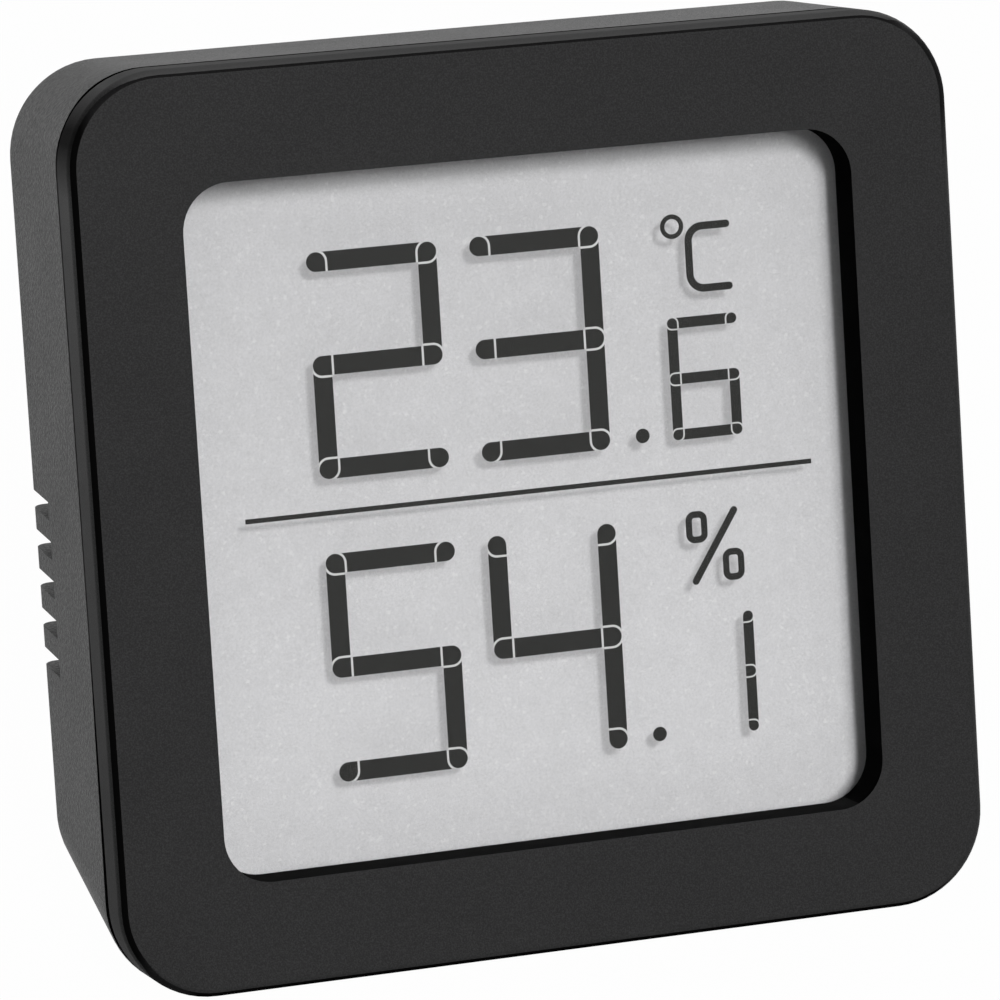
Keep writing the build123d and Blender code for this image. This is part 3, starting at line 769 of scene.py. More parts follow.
FILM = ClearLayer("matt polarising film", (0.20, 0.20, 0.20), (0.032, 0.048), (0.30, 0.35), 0.12)
FOIL = ReflectorFoil("transflective foil")
SEGMENTS = CellLayer("driven segment", (0.009, 0.009, 0.008), (0.0126, 0.0126, 0.0112), 0.5, 0.5, 0.05)
# painted light: pale plates in the gaps between segments, in the colour of the lit foil
GAP_LIGHT = CellLayer("segment gap", (0.644, 0.644, 0.644), (0.70, 0.70, 0.70), 0.12, 0.7, 0.5)
RUBBER = StripedRubber(
    "striped contact rubber", "contact_strip", ((0.42, 0.40, 0.38), (0.336, 0.320, 0.304)),
    ((0.018, 0.018, 0.019), (0.018, 0.018, 0.019)), 0.25, 0.01, 0.55, 0.12, 0.1, detail=2, step=0.5,
)
LAMINATE = BoardLaminate("green board laminate")
RESIN = CastResin("cast black resin")
SWITCH_SHELL = SwitchShell(
    "switch shell and cover", "switch_body", ((0.014, 0.014, 0.015), (0.026, 0.026, 0.027)),
    ((0.66, 0.66, 0.65), (0.52, 0.52, 0.51)), 0.18, 0.004, 0.46, -0.16, 0.1, metal=1.0,
)
SENSOR_SHELL = SensorShell(
    "measuring chip compound", "climate_sensor", ((0.016, 0.016, 0.017), (0.030, 0.030, 0.031)),
    ((0.80, 0.80, 0.78), (0.68, 0.68, 0.66)), 0.12, 0.006, 0.5, 0.2, 0.15,
)
NICKEL = PlatedMetal("nickel plated spring steel", (0.66, 0.63, 0.56), 0.26)
SCREW_STEEL = PlatedMetal("black zinc plated screw steel", (0.20, 0.20, 0.21), 0.36, 0.05, 0.4)
CAN_METAL = PlatedMetal("tinned can", (0.64, 0.64, 0.63), 0.30, 0.05, 4.0)
TIN = PlatedMetal("tinned end cap", (0.60, 0.60, 0.58), 0.40, 0.09, 0.2)
CELL_STEEL = TurnedMetal("pressed cell steel", (0.68, 0.68, 0.67), 0.24)


# Mesh helpers

def new_object(name: str, data: bpy.types.ID) -> bpy.types.Object:
    """A new object in the scene with that data."""
    made = bpy.data.objects.new(name, data)
    bpy.context.scene.collection.objects.link(made)
    return made


def arc(centre: Flat, radius: float, start: float, end: float, steps: int) -> list[Flat]:
    """Points along an arc.

    Args:
        centre: Its centre.
        radius: Its radius.
        start: The angle of its first point in degrees.
        end: The angle of its last point.
        steps: How many chords it has.

    Returns:
        The points, both ends included.
    """
    angles = [math.radians(start + (end - start) * step / steps) for step in range(steps + 1)]
    return [(centre[0] + radius * math.cos(a), centre[1] + radius * math.sin(a)) for a in angles]


def ring(mesh: bmesh.types.BMesh, outline: Iterable[Flat], depth: float) -> list[bmesh.types.BMVert]:
    """An outline's vertices at a depth in the case."""
    return [mesh.verts.new(CASE.place(x, depth, z)) for x, z in outline]


def bridge(mesh: bmesh.types.BMesh, rings: Sequence[list[bmesh.types.BMVert]], closed: bool = True) -> None:
    """Joins each ring of vertices to the next with four sided faces."""
    for near, far in zip(rings, rings[1:]):
        for index in range(len(near) if closed else len(near) - 1):
            after = (index + 1) % len(near)
            mesh.faces.new((near[index], far[index], far[after], near[after]))


class Sheet:
    """A mesh of thin plates that lie square to the case's depth."""

    def __init__(self, front: float, back: float) -> None:
        """Sets the depths of the plates' faces, in millimetres."""
        self.front = front
        self.back = back
        self.mesh = bmesh.new()

    def plate(self, outline: Sequence[Flat]) -> None:
        """Adds a closed plate with an outline of x and z."""
        near, far = (ring(self.mesh, outline, depth) for depth in (self.front, self.back))
        bridge(self.mesh, (near, far))
        for face in (near, far[::-1]):
            self.mesh.faces.new(face)

    def band(self, outer: Sequence[Flat], inner: Sequence[Flat], closed: bool = True) -> None:
        """Adds a plate between two lines of as many points.

        Args:
            outer: The one line.
            inner: The other line.
            closed: Whether the lines end where they start.
        """
        corners = ((outer, self.front), (outer, self.back), (inner, self.back), (inner, self.front))
        rings = [ring(self.mesh, line, depth) for line, depth in corners]
        bridge(self.mesh, rings + rings[:1], closed)
        if not closed:
            for end in (0, -1):
                self.mesh.faces.new([line[end] for line in rings])


def add_piece(
    name: str, mesh: bmesh.types.BMesh, finish: Finish, body: str
) -> bpy.types.Object:
    """Turns a bmesh into a piece that rides on a body.

    Args:
        name: The piece's name.
        mesh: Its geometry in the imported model's metres; it is freed.
        finish: Its finish.
        body: The body that it rides on.

    Returns:
        The new object.
    """
    bmesh.ops.recalc_face_normals(mesh, faces=mesh.faces)
    data = bpy.data.meshes.new(name)
    mesh.to_mesh(data)
    mesh.free()
    data.materials.append(finish.material())
    piece = new_object(name, data)
    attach(piece, body)
    log.info("%s: %d faces on %s", name, len(data.polygons), body)
    return piece


# The display

class Bar(Enum):
    """The seven bars of a figure, each between two caps given as column and row."""

    TOP = ((0, 2), (1, 2))
    UPPER_LEFT = ((0, 1), (0, 2))
    UPPER_RIGHT = ((1, 1), (1, 2))
    MIDDLE = ((0, 1), (1, 1))
    LOWER_LEFT = ((0, 0), (0, 1))
    LOWER_RIGHT = ((1, 0), (1, 1))
    BOTTOM = ((0, 0), (1, 0))


NUMERALS: dict[int, tuple[Bar, ...]] = {
    1: (Bar.UPPER_RIGHT, Bar.LOWER_RIGHT),
    2: (Bar.TOP, Bar.UPPER_RIGHT, Bar.MIDDLE, Bar.LOWER_LEFT, Bar.BOTTOM),
    3: (Bar.TOP, Bar.UPPER_RIGHT, Bar.MIDDLE, Bar.LOWER_RIGHT, Bar.BOTTOM),
    4: (Bar.UPPER_LEFT, Bar.UPPER_RIGHT, Bar.MIDDLE, Bar.LOWER_RIGHT),
    5: (Bar.TOP, Bar.UPPER_LEFT, Bar.MIDDLE, Bar.LOWER_RIGHT, Bar.BOTTOM),
    6: (Bar.TOP, Bar.UPPER_LEFT, Bar.MIDDLE, Bar.LOWER_LEFT, Bar.LOWER_RIGHT, Bar.BOTTOM),
}
AXES: tuple[Flat, ...] = ((1.0, 0.0), (0.0, 1.0), (-1.0, 0.0), (0.0, -1.0))
SAME_POINT = 1e-6


@dataclass(frozen=True)
class Figure:
    """One seven bar figure with a cap at each end of its bars."""

    value: int
    left: float
    right: float
    bottom: float
    top: float
    half_stroke: float
    gap: float
    steps: int = 8

    def cap_place(self, column: int, row: int) -> Flat:
        """A cap's centre from its column, 0 or 1, and row, 0 to 2."""
        return (self.left, self.right)[column], self.bottom + (self.top - self.bottom) * row / 2

    def squared(self, column: int, row: int, side: Flat) -> bool:
        """Whether a cap is squared in the quarter that a diagonal points to."""
        facing_in = side[0] * (1 if column == 0 else -1) > 0
        return facing_in and (row == 1 or side[1] * (1 - row) > 0)

    def quarter(self, cap: tuple[int, int], first: Flat, second: Flat, radius: float) -> list[Flat]:
        """A quarter of a cap's outline, or as much of it as lies before a bar.

        Args:
            cap: The cap's column and row.
            first: The unit axis at which the quarter starts.
            second: The unit axis towards which it runs.
            radius: The outline's distance from the centre.

        Returns:
            Its points.
        """
        if self.squared(*cap, (first[0] + second[0], first[1] + second[1])):
            steps = [(radius, self.half_stroke * step / self.steps) for step in range(self.steps + 1)]
        else:
            sweep = math.degrees(math.asin(self.half_stroke / radius))
            steps = arc((0.0, 0.0), radius, 0.0, sweep, self.steps)
        x, z = self.cap_place(*cap)
        return [
            (x + first[0] * along + second[0] * aside, z + first[1] * along + second[1] * aside)
            for along, aside in steps
        ]

    def end_line(self, cap: tuple[int, int], towards: Flat, radius: float) -> list[Flat]:
        """The line across a bar's end, at a distance from the cap's centre."""
        sides = ((-towards[1], towards[0]), (towards[1], -towards[0]))
        left, right = (self.quarter(cap, towards, side, radius) for side in sides)
        return right[::-1] + left[1:]

    def cap_line(self, cap: tuple[int, int]) -> list[Flat]:
        """A cap's whole outline."""
        line: list[Flat] = []
        for first, second in zip(AXES, AXES[1:] + AXES[:1]):
            line += self.quarter(cap, first, second, self.half_stroke)
        return [point for index, point in enumerate(line) if math.dist(point, line[index - 1]) > SAME_POINT]

    def draw(self, dark: Sheet, pale: Sheet) -> None:
        """Adds the lit bars and caps, and the pale lines between them, which are plates of painted light.

        Args:
            dark: The sheet of driven segments.
            pale: The sheet of pale plates in the gaps, painted light.
        """
        caps: list[tuple[int, int]] = []
        for bar in NUMERALS[self.value]:
            start, end = bar.value
            towards = (float(end[0] - start[0]), float(end[1] - start[1]))
            bar_ends = []
            for cap, way in ((start, towards), (end, (-towards[0], -towards[1]))):
                outer = self.end_line(cap, way, self.half_stroke + self.gap)
                bar_ends += outer
                # a pale plate of painted light in the gap at the bar's end
                pale.band(outer, self.end_line(cap, way, self.half_stroke), False)
                if cap not in caps:
                    caps.append(cap)
            dark.plate(bar_ends)
        for cap in caps:
            dark.plate(self.cap_line(cap))


def heading(start: Flat, end: Flat) -> float:
    """The angle in degrees at which end lies from start."""
    return math.degrees(math.atan2(end[1] - start[1], end[0] - start[0]))


def rounded_line(points: Sequence[Flat], radius: float, steps: int = 8) -> list[Flat]:
    """Rounds the inner corners of a line.

    Args:
        points: Its corners.
        radius: The corners' radius.
        steps: How many chords a corner has.

    Returns:
        The line with an arc at each inner corner.
    """
    line = [points[0]]
    for before, corner, after in zip(points, points[1:], points[2:]):
        into, out = (Vector(corner) - Vector(before)).normalized(), (Vector(after) - Vector(corner)).normalized()
        turn = abs(into.angle_signed(out))
        start = Vector(corner) - into * radius * math.tan(turn / 2)
        side = 1 if into.x * out.y - into.y * out.x > 0 else -1
        centre = start + Vector((-into.y, into.x)) * side * radius
        first = heading(centre, start)
        line += arc(tuple(centre), radius, first, first + side * math.degrees(turn), steps)
    return line + [points[-1]]


def stroke_outline(line: Sequence[Flat], half_width: float, steps: int = 8) -> list[Flat]:
    """The outline of a round ended stroke drawn along a line.

    Args:
        line: Its middle line.
        half_width: Half of its width.
        steps: How many chords a round end has.

    Returns:
        The outline.
    """
    left, right = [], []
    for index, point in enumerate(line):
        before, after = line[max(index - 1, 0)], line[min(index + 1, len(line) - 1)]
        way = (Vector(after) - Vector(before)).normalized() * half_width
        left.append((point[0] - way.y, point[1] + way.x))
        right.append((point[0] + way.y, point[1] - way.x))
    last, first = heading(line[-2], line[-1]), heading(line[1], line[0])
    left += arc(line[-1], half_width, last + 90, last - 90, steps)[1:-1]
    right = arc(line[0], half_width, first - 90, first + 90, steps)[1:-1] + right
    return left + right[::-1]


def slot_line(centre: Flat, half_width: float, half_height: float, radius: float, steps: int = 8) -> list[Flat]:
    """The closed outline of an upright rectangle with round corners."""
    line: list[Flat] = []
    for sign_x, sign_z, start in ((1, 1, 0), (-1, 1, 90), (-1, -1, 180), (1, -1, 270)):
        corner = (centre[0] + sign_x * (half_width - radius), centre[1] + sign_z * (half_height - radius))
        line += arc(corner, radius, start, start + 90, steps)
    return line


def round_line(centre: Flat, radius: float, steps: int) -> list[Flat]:
    """The closed outline of a disc."""
    return arc(centre, radius, 0, 360, steps)[:-1]


@dataclass(frozen=True)
class Display:
    """The liquid crystal cell: film, two panes with the segments between them, and the foil behind."""

    temperature: tuple[int, int, int] = (2, 3, 6)
    humidity: tuple[int, int, int] = (5, 4, 1)
    columns: tuple[Flat, Flat] = ((-13.62, -5.80), (-2.13, 5.75))
    small_columns: Flat = (11.35, 15.66)
    temperature_rows: Flat = (3.13, 17.08)
    humidity_rows: Flat = (-17.48, -3.27)
    small_drop: float = 0.19
    small_height: float = 7.64
    half_stroke: float = 0.66
    small_half_stroke: float = 0.365
    sign_half_stroke: float = 0.262
    gap: float = 0.15
    small_gap: float = 0.105
    point_x: float = 8.77
    point_radius: float = 0.50
    point_steps: int = 24
    rule_ends: Flat = (-19.67, 20.92)
    rule_height: float = 0.18
    rule_half_width: float = 0.165
    degree_centre: Flat = (11.72, 17.17)
    degree_radii: Flat = (0.84, 0.52)
    degree_steps: int = 48
    letter_sides: Flat = (12.85, 15.64)
    letter_levels: Flat = (12.80, 17.05)
    letter_radius: float = 1.0
    percent_rings: tuple[Flat, Flat] = ((12.29, -3.52), (14.84, -6.33))
    percent_outer: tuple[float, float, float] = (0.78, 1.10, 0.62)
    percent_inner: tuple[float, float, float] = (0.325, 0.64, 0.17)
    percent_stroke: tuple[Flat, Flat] = ((15.06, -2.60), (12.03, -7.24))
    percent_half_stroke: float = 0.25
    segment_depth: float = 0.04
    segment_thickness: float = 0.02
    pane_clearance: float = 0.012
    pane_grind: float = 0.12
    seal_groove: float = 0.06
    seal_inset: float = 0.25

    def figures(self) -> Iterable[Figure]:
        """The six figures, large ones first in each row."""
        rows = ((self.temperature, self.temperature_rows), (self.humidity, self.humidity_rows))
        for values, (bottom, top) in rows:
            for value, sides in zip(values, self.columns):
                yield Figure(value, *sides, bottom, top, self.half_stroke, self.gap)
            foot = bottom - self.small_drop
            levels = (foot, foot + self.small_height)
            yield Figure(values[2], *self.small_columns, *levels, self.small_half_stroke, self.small_gap)

    def signs(self, dark: Sheet) -> None:
        """Adds the rule, the points and the signs for degrees Celsius and percent."""
        left, right = self.rule_ends
        low, high = self.rule_height - self.rule_half_width, self.rule_height + self.rule_half_width
        dark.plate([(left, low), (right, low), (right, high), (left, high)])
        for foot, _ in (self.temperature_rows, self.humidity_rows):
            dark.plate(round_line((self.point_x, foot), self.point_radius, self.point_steps))
        dark.band(*(round_line(self.degree_centre, radius, self.degree_steps) for radius in self.degree_radii))
        left, right = self.letter_sides
        low, high = self.letter_levels
        letter = rounded_line([(right, high), (left, high), (left, low), (right, low)], self.letter_radius)
        dark.plate(stroke_outline(letter, self.sign_half_stroke))
        for centre in self.percent_rings:
            dark.band(slot_line(centre, *self.percent_outer), slot_line(centre, *self.percent_inner))
        dark.plate(stroke_outline(self.percent_stroke, self.percent_half_stroke))

    def segments(self) -> None:
        """Lays the driven segments, and the plates of painted light in the gaps, just behind the front pane's face.
        """
        middle = CASE.extent("display_front_pane")[0].y + self.segment_depth
        half = self.segment_thickness / 2
        dark, pale = Sheet(middle - half, middle + half), Sheet(middle - half, middle + half)
        for figure in self.figures():
            figure.draw(dark, pale)
        self.signs(dark)
        add_piece("display_segments", dark.mesh, SEGMENTS, "case")
        add_piece("display_gap_light", pale.mesh, GAP_LIGHT, "case")

    def cell(self) -> None:
        """Makes the sealed pair of panes: ground edges, the seal's groove, and the foil bonded to the back."""
        front, rear = CASE.extent("display_front_pane"), CASE.extent("display_rear_pane")
        start, joint, end = front[0].y, front[1].y, rear[1].y
        air, grind, groove = self.pane_clearance, self.pane_grind, self.seal_groove
        sections = (
            (start + air, front, grind), (start + grind, front, 0.0),
            (joint - groove, front, 0.0), (joint - groove, rear, self.seal_inset),
            (joint + groove, rear, self.seal_inset), (joint + groove, rear, 0.0),
            (end - grind, rear, 0.0), (end - air, rear, grind),
        )
        mesh = bmesh.new()
        rings = []
        for depth, (least, most), inset in sections:
            left, right, bottom, top = least.x + inset, most.x - inset, least.z + inset, most.z - inset
            rings.append(ring(mesh, ((left, bottom), (right, bottom), (right, top), (left, top)), depth))
        bridge(mesh, rings)
        mesh.faces.new(rings[0])
        mesh.faces.new(rings[-1][::-1]).material_index = 1
        piece = add_piece("display_glass_cell", mesh, CLEAR_GLASS, "case")
        piece.data.materials.append(FOIL.material())
        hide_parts("display_front_pane", "display_rear_pane")

    def build(self) -> None:
        """Builds the cell's layers and what it shows."""
        self.segments()
        self.cell()
        FOIL.dress("display_reflector")
        FILM.dress("display_front_film")


@dataclass(frozen=True)
class Mouldings:
    """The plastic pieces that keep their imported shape."""

    def build(self) -> None:
        """Dresses frame, shell, door, stand, button and the display's tray."""
        BLACK_FRAME.dress("front_frame")
        BLACK_SHELL.dress("rear_shell", "battery_door", "stand")
        BLACK_BUTTON.dress("unit_button")
        CARRIER_PLASTIC.dress("display_carrier")


# What repeats: fasteners and chip parts

class Growth(Graph):
    """A Geometry Nodes tree with named sizes that puts one shape on every point of a carrier."""

    weld: float = 1e-7

    def __init__(self, name: str, sizes: dict[str, float]) -> None:
        """Opens the tree with a geometry socket each way and one input for each size.

        Args:
            name: The tree's name.
            sizes: Each input's value in millimetres.
        """
        super().__init__(bpy.data.node_groups.new(name, "GeometryNodeTree"))
        face = self.tree.interface
        face.new_socket("Geometry", in_out="INPUT", socket_type="NodeSocketGeometry")
        face.new_socket("Geometry", in_out="OUTPUT", socket_type="NodeSocketGeometry")
        self.values = {
            face.new_socket(size, in_out="INPUT", socket_type="NodeSocketFloat").identifier: value * MM
            for size, value in sizes.items()
        }
        self.inlet = self.tree.nodes.new("NodeGroupInput")

    def sizes(self, *names: str) -> tuple[Wire, ...]:
        """The inputs of those names."""
        return tuple(Wire(self, self.inlet.outputs[name]) for name in names)

    def vector(self, x: Any, y: Any, z: Any) -> Wire:
        """A vector from three numbers or wires."""
        return self.add("ShaderNodeCombineXYZ", {0: x, 1: y, 2: z})

    def lifted(self, shape: Wire, height: Any, aside: Any = 0.0) -> Wire:
        """The shape, shifted along Z and X."""
        return self.add("GeometryNodeTransform", {"Geometry": shape, "Translation": self.vector(aside, 0.0, height)})

    def shaped(self, shape: Wire, x: Wire, y: Wire, z: Wire) -> Wire:
        """The shape with every point at a new place."""
        return self.add("GeometryNodeSetPosition", {"Geometry": shape, "Position": self.vector(x, y, z)})

    def points(self) -> tuple[Wire, Wire, Wire]:
        """A shape's own coordinates, for use in a new place."""
        here = self.add("GeometryNodeInputPosition")
        x, y, z = (self.add("ShaderNodeSeparateXYZ", {0: here}, axis) for axis in "XYZ")
        return x, y, z

    def bar(self, x: Any, y: Any, z: Any) -> Wire:
        """A block of three sizes round the origin."""
        return self.add("GeometryNodeMeshCube", {"Size": self.vector(x, y, z)})

    def joined(self, *shapes: Wire) -> Wire:
        """Several shapes as one."""
        return self.add("GeometryNodeJoinGeometry", {"Geometry": list(shapes)})

    def coated(self, shape: Wire, finish: Finish) -> Wire:
        """The shape in a finish."""
        return self.add("GeometryNodeSetMaterial", {"Geometry": shape, "Material": finish.material()})

    def close(self, shape: Wire, turn: Wire) -> None:
        """Puts the shape on every point, outwards along the case's depth, and ends the tree.

        Args:
            shape: The coated shape, its axis along Z.
            turn: How far each one is turned about its axis, in radians.
        """
        upright = CASE.back.to_track_quat("Z", "Y").to_euler()
        sockets = {"Points": Wire(self, self.inlet.outputs["Geometry"]), "Instance": shape, "Rotation": upright}
        placed = self.add("GeometryNodeInstanceOnPoints", sockets)
        sockets = {"Instances": placed, "Rotation": self.vector(0.0, 0.0, turn)}
        turned = self.add("GeometryNodeRotateInstances", sockets)
        self.add("NodeGroupOutput", {"Geometry": self.add("GeometryNodeRealizeInstances", {"Geometry": turned})})

    def grow(self, name: str, places: Sequence[Vector], turns: Sequence[float] = ()) -> bpy.types.Object:
        """Runs the tree on points and keeps the result as a plain mesh.

        Args:
            name: The new object's name.
            places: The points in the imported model's metres.
            turns: Each point's own turn in radians, if the tree reads one.

        Returns:
            The object, at the origin and without a modifier.
        """
        carrier = bpy.data.meshes.new(name)
        carrier.from_pydata([tuple(place) for place in places], [], [])
        if turns:
            carrier.attributes.new("turn", "FLOAT", "POINT").data.foreach_set("value", list(turns))
        piece = new_object(name, carrier)
        modifier = piece.modifiers.new("growth", "NODES")
        modifier.node_group = self.tree
        for identifier, value in self.values.items():
            modifier[identifier] = value
        grown = piece.evaluated_get(bpy.context.evaluated_depsgraph_get())
        mesh = bpy.data.meshes.new_from_object(grown)
        piece.modifiers.remove(modifier)
        piece.data = mesh
        shells = bmesh.new()
        shells.from_mesh(mesh)
        bmesh.ops.remove_doubles(shells, verts=shells.verts, dist=self.weld)
        bmesh.ops.recalc_face_normals(shells, faces=shells.faces)
        shells.to_mesh(mesh)
        shells.free()
        log.info("%s: %d faces on %d points", name, len(mesh.polygons), len(places))
        return piece


def standing_parts(node: str, reach: float) -> list[Box]:
    """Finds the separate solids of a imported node.

    Args:
        node: The node's name.
        reach: How far across one solid may be, in millimetres.

    Returns:
        Each solid's lowest and highest corner in the case's frame.
    """
    groups: list[list[Sequence[float]]] = []
    for spot in CASE.spots(node):
        near = [group for group in groups if math.dist(spot[::2], group[0][::2]) < reach]
        if near:
            near[0].append(spot)
        else:
            groups.append([spot])
    return [box(group) for group in groups]


@dataclass(frozen=True)
class ScrewSet:
    """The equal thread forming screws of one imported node: domed head, cross recess, shank and thread."""

    node: str
    piece: str
    head_height: float
    core_radius: float
    dome: float = 0.32
    pitch: float = 0.62
    ridge: float = 0.16
    point: float = 1.1
    recess_span: float = 0.62
    recess_width: float = 0.20
    recess_depth: float = 0.55
    recess_foot: float = 0.55
    point_foot: float = 0.45
    sides: int = 40
    rings: int = 16
    head_rings: int = 5
    seed: int = 11
    reach: float = 6.0

    def head(self, growth: Growth) -> Wire:
        """The domed head, less its recess."""
        radius, height, dome = growth.sizes("Head Radius", "Head Height", "Dome")
        x, y, z = growth.points()
        sockets = {
            "Vertices": self.sides, "Side Segments": 2, "Fill Segments": self.head_rings, "Radius": radius,
            "Depth": height,
        }
        disc = growth.lifted(growth.add("GeometryNodeMeshCylinder", sockets), height * 0.5)
        away = (x * x + y * y) / (radius * radius)
        head = growth.shaped(disc, x, y, z - z * away * dome / height)
        sockets = {"Mesh 1": head, "Mesh 2": self.recess(growth, height)}
        return growth.add("GeometryNodeMeshBoolean", sockets, operation="DIFFERENCE", solver="EXACT")

    def recess(self, growth: Growth, height: Wire) -> list[Wire]:
        """The two tapered bars that a screwdriver's cross needs."""
        span, width, depth = growth.sizes("Recess Span", "Recess Width", "Recess Depth")
        x, y, z = growth.points()
        narrow = (z - height + depth) / depth * (1 - self.recess_foot) + self.recess_foot
        bars = (growth.bar(*sides, depth * 2.0) for sides in ((span * 2.0, width), (width, span * 2.0)))
        return [growth.shaped(growth.lifted(bar, height), x * narrow, y * narrow, z) for bar in bars]

    def body(self, growth: Growth) -> Wire:
        """The shank and its thread, drawn in to a point."""
        core, length, point = growth.sizes("Core Radius", "Length", "Point")
        x, y, z = growth.points()
        rod = {"Vertices": self.sides // 2, "Side Segments": self.rings, "Radius": core, "Depth": length}
        rod = growth.lifted(growth.add("GeometryNodeMeshCylinder", rod), length * -0.5)
        taper = ((z + length) / point * (1 - self.point_foot) + self.point_foot).least(1.0)
        return growth.shaped(growth.joined(rod, self.thread(growth, core, length)), x * taper, y * taper, z)

    def thread(self, growth: Growth, core: Wire, length: Wire) -> Wire:
        """The ridge that winds along the shank."""
        pitch, ridge = growth.sizes("Pitch", "Ridge")
        wound = length - pitch
        sockets = {
            "Resolution": self.sides // 2, "Rotations": wound / pitch, "Start Radius": core, "End Radius": core,
            "Height": wound,
        }
        helix = growth.lifted(growth.add("GeometryNodeCurveSpiral", sockets), ridge - length)
        profile = growth.add("GeometryNodeCurvePrimitiveCircle", {"Resolution": 3, "Radius": ridge})
        return growth.add(
            "GeometryNodeCurveToMesh", {"Curve": helix, "Profile Curve": profile, "Fill Caps": True}
        )

    def build(self) -> None:
        """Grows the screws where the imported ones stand, and lets them stand for those."""
        solids = standing_parts(self.node, self.reach)
        low, high = solids[0]
        radius = (high.x - low.x) / 2
        growth = Growth(self.piece, {
            "Head Radius": radius, "Head Height": self.head_height, "Dome": self.dome,
            "Core Radius": self.core_radius, "Length": high.y - self.head_height - low.y, "Pitch": self.pitch,
            "Ridge": self.ridge, "Point": self.point, "Recess Span": radius * self.recess_span,
            "Recess Width": radius * self.recess_width * 2, "Recess Depth": self.head_height * self.recess_depth,
        })
        span = {2: 0.0, 3: math.pi / 2, "Seed": self.seed}
        turn = growth.add("FunctionNodeRandomValue", span, 1, data_type="FLOAT")
        growth.close(growth.coated(growth.joined(self.head(growth), self.body(growth)), SCREW_STEEL), turn)
        seats = [
            CASE.place((least.x + most.x) / 2, most.y - self.head_height, (least.z + most.z) / 2)
            for least, most in solids
        ]
        piece = growth.grow(self.piece, seats)
        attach(piece, "case")
        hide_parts(self.node)


@dataclass(frozen=True)
class ChipParts:
    """The small chip parts on the board: a fired body between two tinned end caps."""

    cap_length: float = 0.34
    inset: float = 0.03
    reach: float = 2.0

    def part(self, growth: Growth) -> Wire:
        """One chip part, its length along X and its height along Z."""
        length, width, height, cap, inset = growth.sizes("Length", "Width", "Height", "Cap Length", "Inset")
        core = growth.lifted(growth.bar(length - cap, width - inset * 2.0, height - inset), (height - inset) * 0.5)
        end, shift = growth.bar(cap, width, height), (length - cap) * 0.5
        ends = [growth.lifted(end, height * 0.5, shift * side) for side in (1.0, -1.0)]
        return growth.joined(growth.coated(core, CHIP_CERAMIC), growth.coated(growth.joined(*ends), TIN))

    def build(self) -> None:
        """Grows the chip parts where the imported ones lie."""
        solids = standing_parts("chip_parts", self.reach)
        low, high = solids[0]
        width, length = sorted((high.x - low.x, high.z - low.z))
        growth = Growth("chip_part", {
            "Length": length, "Width": width, "Height": high.y - low.y, "Cap Length": self.cap_length,
            "Inset": self.inset,
        })
        turn = growth.add("GeometryNodeInputNamedAttribute", {"Name": "turn"}, "Attribute", data_type="FLOAT")
        growth.close(self.part(growth), turn)
        feet = [CASE.place((least.x + most.x) / 2, least.y, (least.z + most.z) / 2) for least, most in solids]
        turns = [0.0 if most.x - least.x > most.z - least.z else math.pi / 2 for least, most in solids]
        piece = growth.grow("board_chip_parts", feet, turns)
        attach(piece, "case")
        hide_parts("chip_parts")


@dataclass(frozen=True)
class Electronics:
    """The board with what stands on it, the cell and its contacts, and all screws."""

    case_screws: ScrewSet = ScrewSet("case_screws", "case_screw_set", head_height=1.3, core_radius=0.72)
    board_screws: ScrewSet = ScrewSet(
        "board_screws", "board_screw_set", head_height=0.9, core_radius=0.60, dome=0.25, pitch=0.5, ridge=0.12,
        point=0.8,
    )

    def build(self) -> None:
        """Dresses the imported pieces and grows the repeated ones."""
        LAMINATE.dress("circuit_board")
        RUBBER.dress("contact_strip")
        RESIN.dress("controller")
        SENSOR_SHELL.dress("climate_sensor")
        SWITCH_SHELL.dress("switch_body")
        PLUNGER_PLASTIC.dress("switch_plunger")
        CAN_METAL.dress("watch_crystal")
        CELL_STEEL.dress("coin_cell")
        NICKEL.dress("battery_finger_contact", "battery_side_contact")
        ChipParts().build()
        self.case_screws.build()
        self.board_screws.build()


# The studio

WHITE = (1.0, 1.0, 1.0, 1.0)


def seen_white(graph: Graph) -> Wire:
    """1 for a ray that should find plain white: from the camera, a gloss or through glass."""
    kinds = ("Camera", "Glossy", "Transmission")
    camera, glossy, passed = (graph.add("ShaderNodeLightPath", out=f"Is {kind} Ray") for kind in kinds)
    return camera.greatest(glossy).greatest(passed)


@dataclass(frozen=True)
class FloorPaint(Finish):
    """Plain white where it is seen, and matt grey where it lights the sensor."""

    grey: tuple[float, float, float, float] = (0.42, 0.42, 0.42, 1.0)
    glow_share: float = 0.985

    def paint(self, graph: Graph) -> Wire:
        """A matt floor that glows for the eye, apart from a share that keeps the shadow."""
        matt = graph.add("ShaderNodeBsdfDiffuse", {"Color": self.grey})
        glow = graph.add("ShaderNodeEmission", {"Color": WHITE, "Strength": 1.0})
        return graph.mixed(seen_white(graph) * self.glow_share, matt, glow)


@dataclass(frozen=True)
class SoftLamp:
    """A round soft lamp that looks at the case's front."""

    name: str
    direction: tuple[float, float, float]
    distance: float
    side: float
    power: float
    passes: tuple[str, ...] = ()

    def hang(self) -> None:
        """Hangs it where its direction points in the case's frame; what it passes casts no shadow of it."""
        data = bpy.data.lights.new(self.name, "AREA")
        data.shape = "DISK"
        data.size = self.side
        data.energy = self.power
        lamp = new_object(self.name, data)
        way = CASE.direction(*self.direction).normalized()
        lamp.location = CASE.place(0, 0, 0) + way * self.distance
        lamp.rotation_euler = way.to_track_quat("Z", "Y").to_euler()
        lamp.visible_camera = False
        if self.passes:
            passed = bpy.data.collections.new(f"{self.name} passes")
            for name in self.passes:
                passed.objects.link(bpy.data.objects[name])
            lamp.light_linking.blocker_collection = passed
            for entry in passed.collection_objects:
                entry.light_linking.link_state = "EXCLUDE"


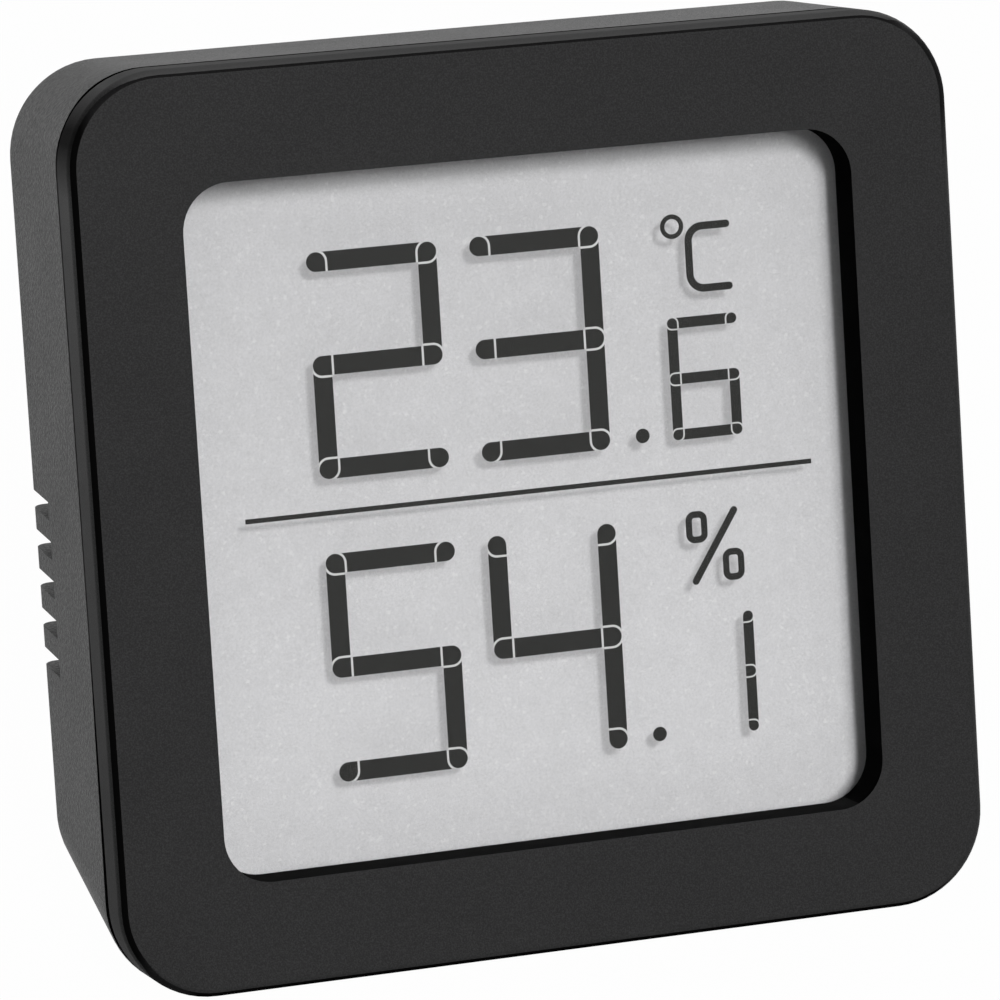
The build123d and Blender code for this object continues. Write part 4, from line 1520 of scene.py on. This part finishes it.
@dataclass(frozen=True)
class Studio:
    """Pale floor, soft lamps and the photograph's viewpoint; places in metres, angles in degrees."""

    place: tuple[float, float, float] = (-0.139279, -0.355263, 0.241172)
    heading: float = 20.929
    dip: float = 28.865
    roll: float = 4.259
    lens: float = 234.38
    sensor_width: float = 36.0
    clip_start: float = 0.01
    surround: float = 0.12
    floor_side: float = 8.0
    paint: FloorPaint = FloorPaint("studio floor")
    lamps: tuple[SoftLamp, ...] = (
        SoftLamp("front lamp", (-0.07, -1.0, 0.36), 1.0, 0.16, 3.25),
        SoftLamp("front softbox", (0.03, -1.0, 0.21), 1.3, 0.33, 8.7, ("display_segments", "display_gap_light")),
        SoftLamp("left lamp", (-1.0, 0.75, 0.30), 0.45, 0.30, 0.65),
        SoftLamp("right lamp", (1.0, 0.5, 0.5), 0.8, 0.60, 4.0),
        SoftLamp("rear lamp", (0.35, 1.0, -0.08), 0.9, 0.60, 5.0),
    )

    def camera(self) -> None:
        """Stands the camera where the photograph was taken."""
        heading, dip, roll = (math.radians(angle) for angle in (self.heading, self.dip, self.roll))
        ahead = (math.sin(heading) * math.cos(dip), math.cos(heading) * math.cos(dip), -math.sin(dip))
        forward, level = Vector(ahead), Vector((math.cos(heading), -math.sin(heading), 0))
        right = level * math.cos(roll) + level.cross(forward) * math.sin(roll)
        turned = Matrix((right, right.cross(forward), -forward)).transposed().to_4x4()
        data = bpy.data.cameras.new("viewpoint")
        data.lens = self.lens
        data.sensor_width = self.sensor_width
        data.clip_start = self.clip_start
        camera = new_object("viewpoint", data)
        camera.matrix_world = Matrix.Translation(self.place) @ turned
        bpy.context.scene.camera = camera

    def floor(self) -> None:
        """Lays a white floor that keeps the sensor's shadow."""
        bpy.ops.mesh.primitive_plane_add(size=self.floor_side)
        floor = bpy.context.object
        floor.name = "studio_floor"
        floor.data.materials.append(self.paint.material())

    def world(self) -> None:
        """A plain white surround, dimmer where it lights than where it is seen."""
        world = bpy.data.worlds.new("surround")
        world.use_nodes = True
        bpy.context.scene.world = world
        graph = Graph(world.node_tree)
        sky = {"Color": WHITE, "Strength": seen_white(graph).span(self.surround, 1.0)}
        sky = graph.add("ShaderNodeBackground", sky)
        graph.add("ShaderNodeOutputWorld", {"Surface": sky})

    def build(self) -> None:
        """Sets floor, surround, lamps, camera and the plain view transform."""
        self.floor()
        self.world()
        for lamp in self.lamps:
            lamp.hang()
        self.camera()
        bpy.context.scene.view_settings.view_transform = "Standard"


def main() -> None:
    """Builds every sub-assembly, then the studio."""
    logging.basicConfig(level=logging.INFO, format="%(name)s %(message)s")
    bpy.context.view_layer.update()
    for part in (Mouldings(), Display(), Electronics(), Studio()):
        log.info("building %s", type(part).__name__)
        part.build()


if __name__ == "__main__":
    main()
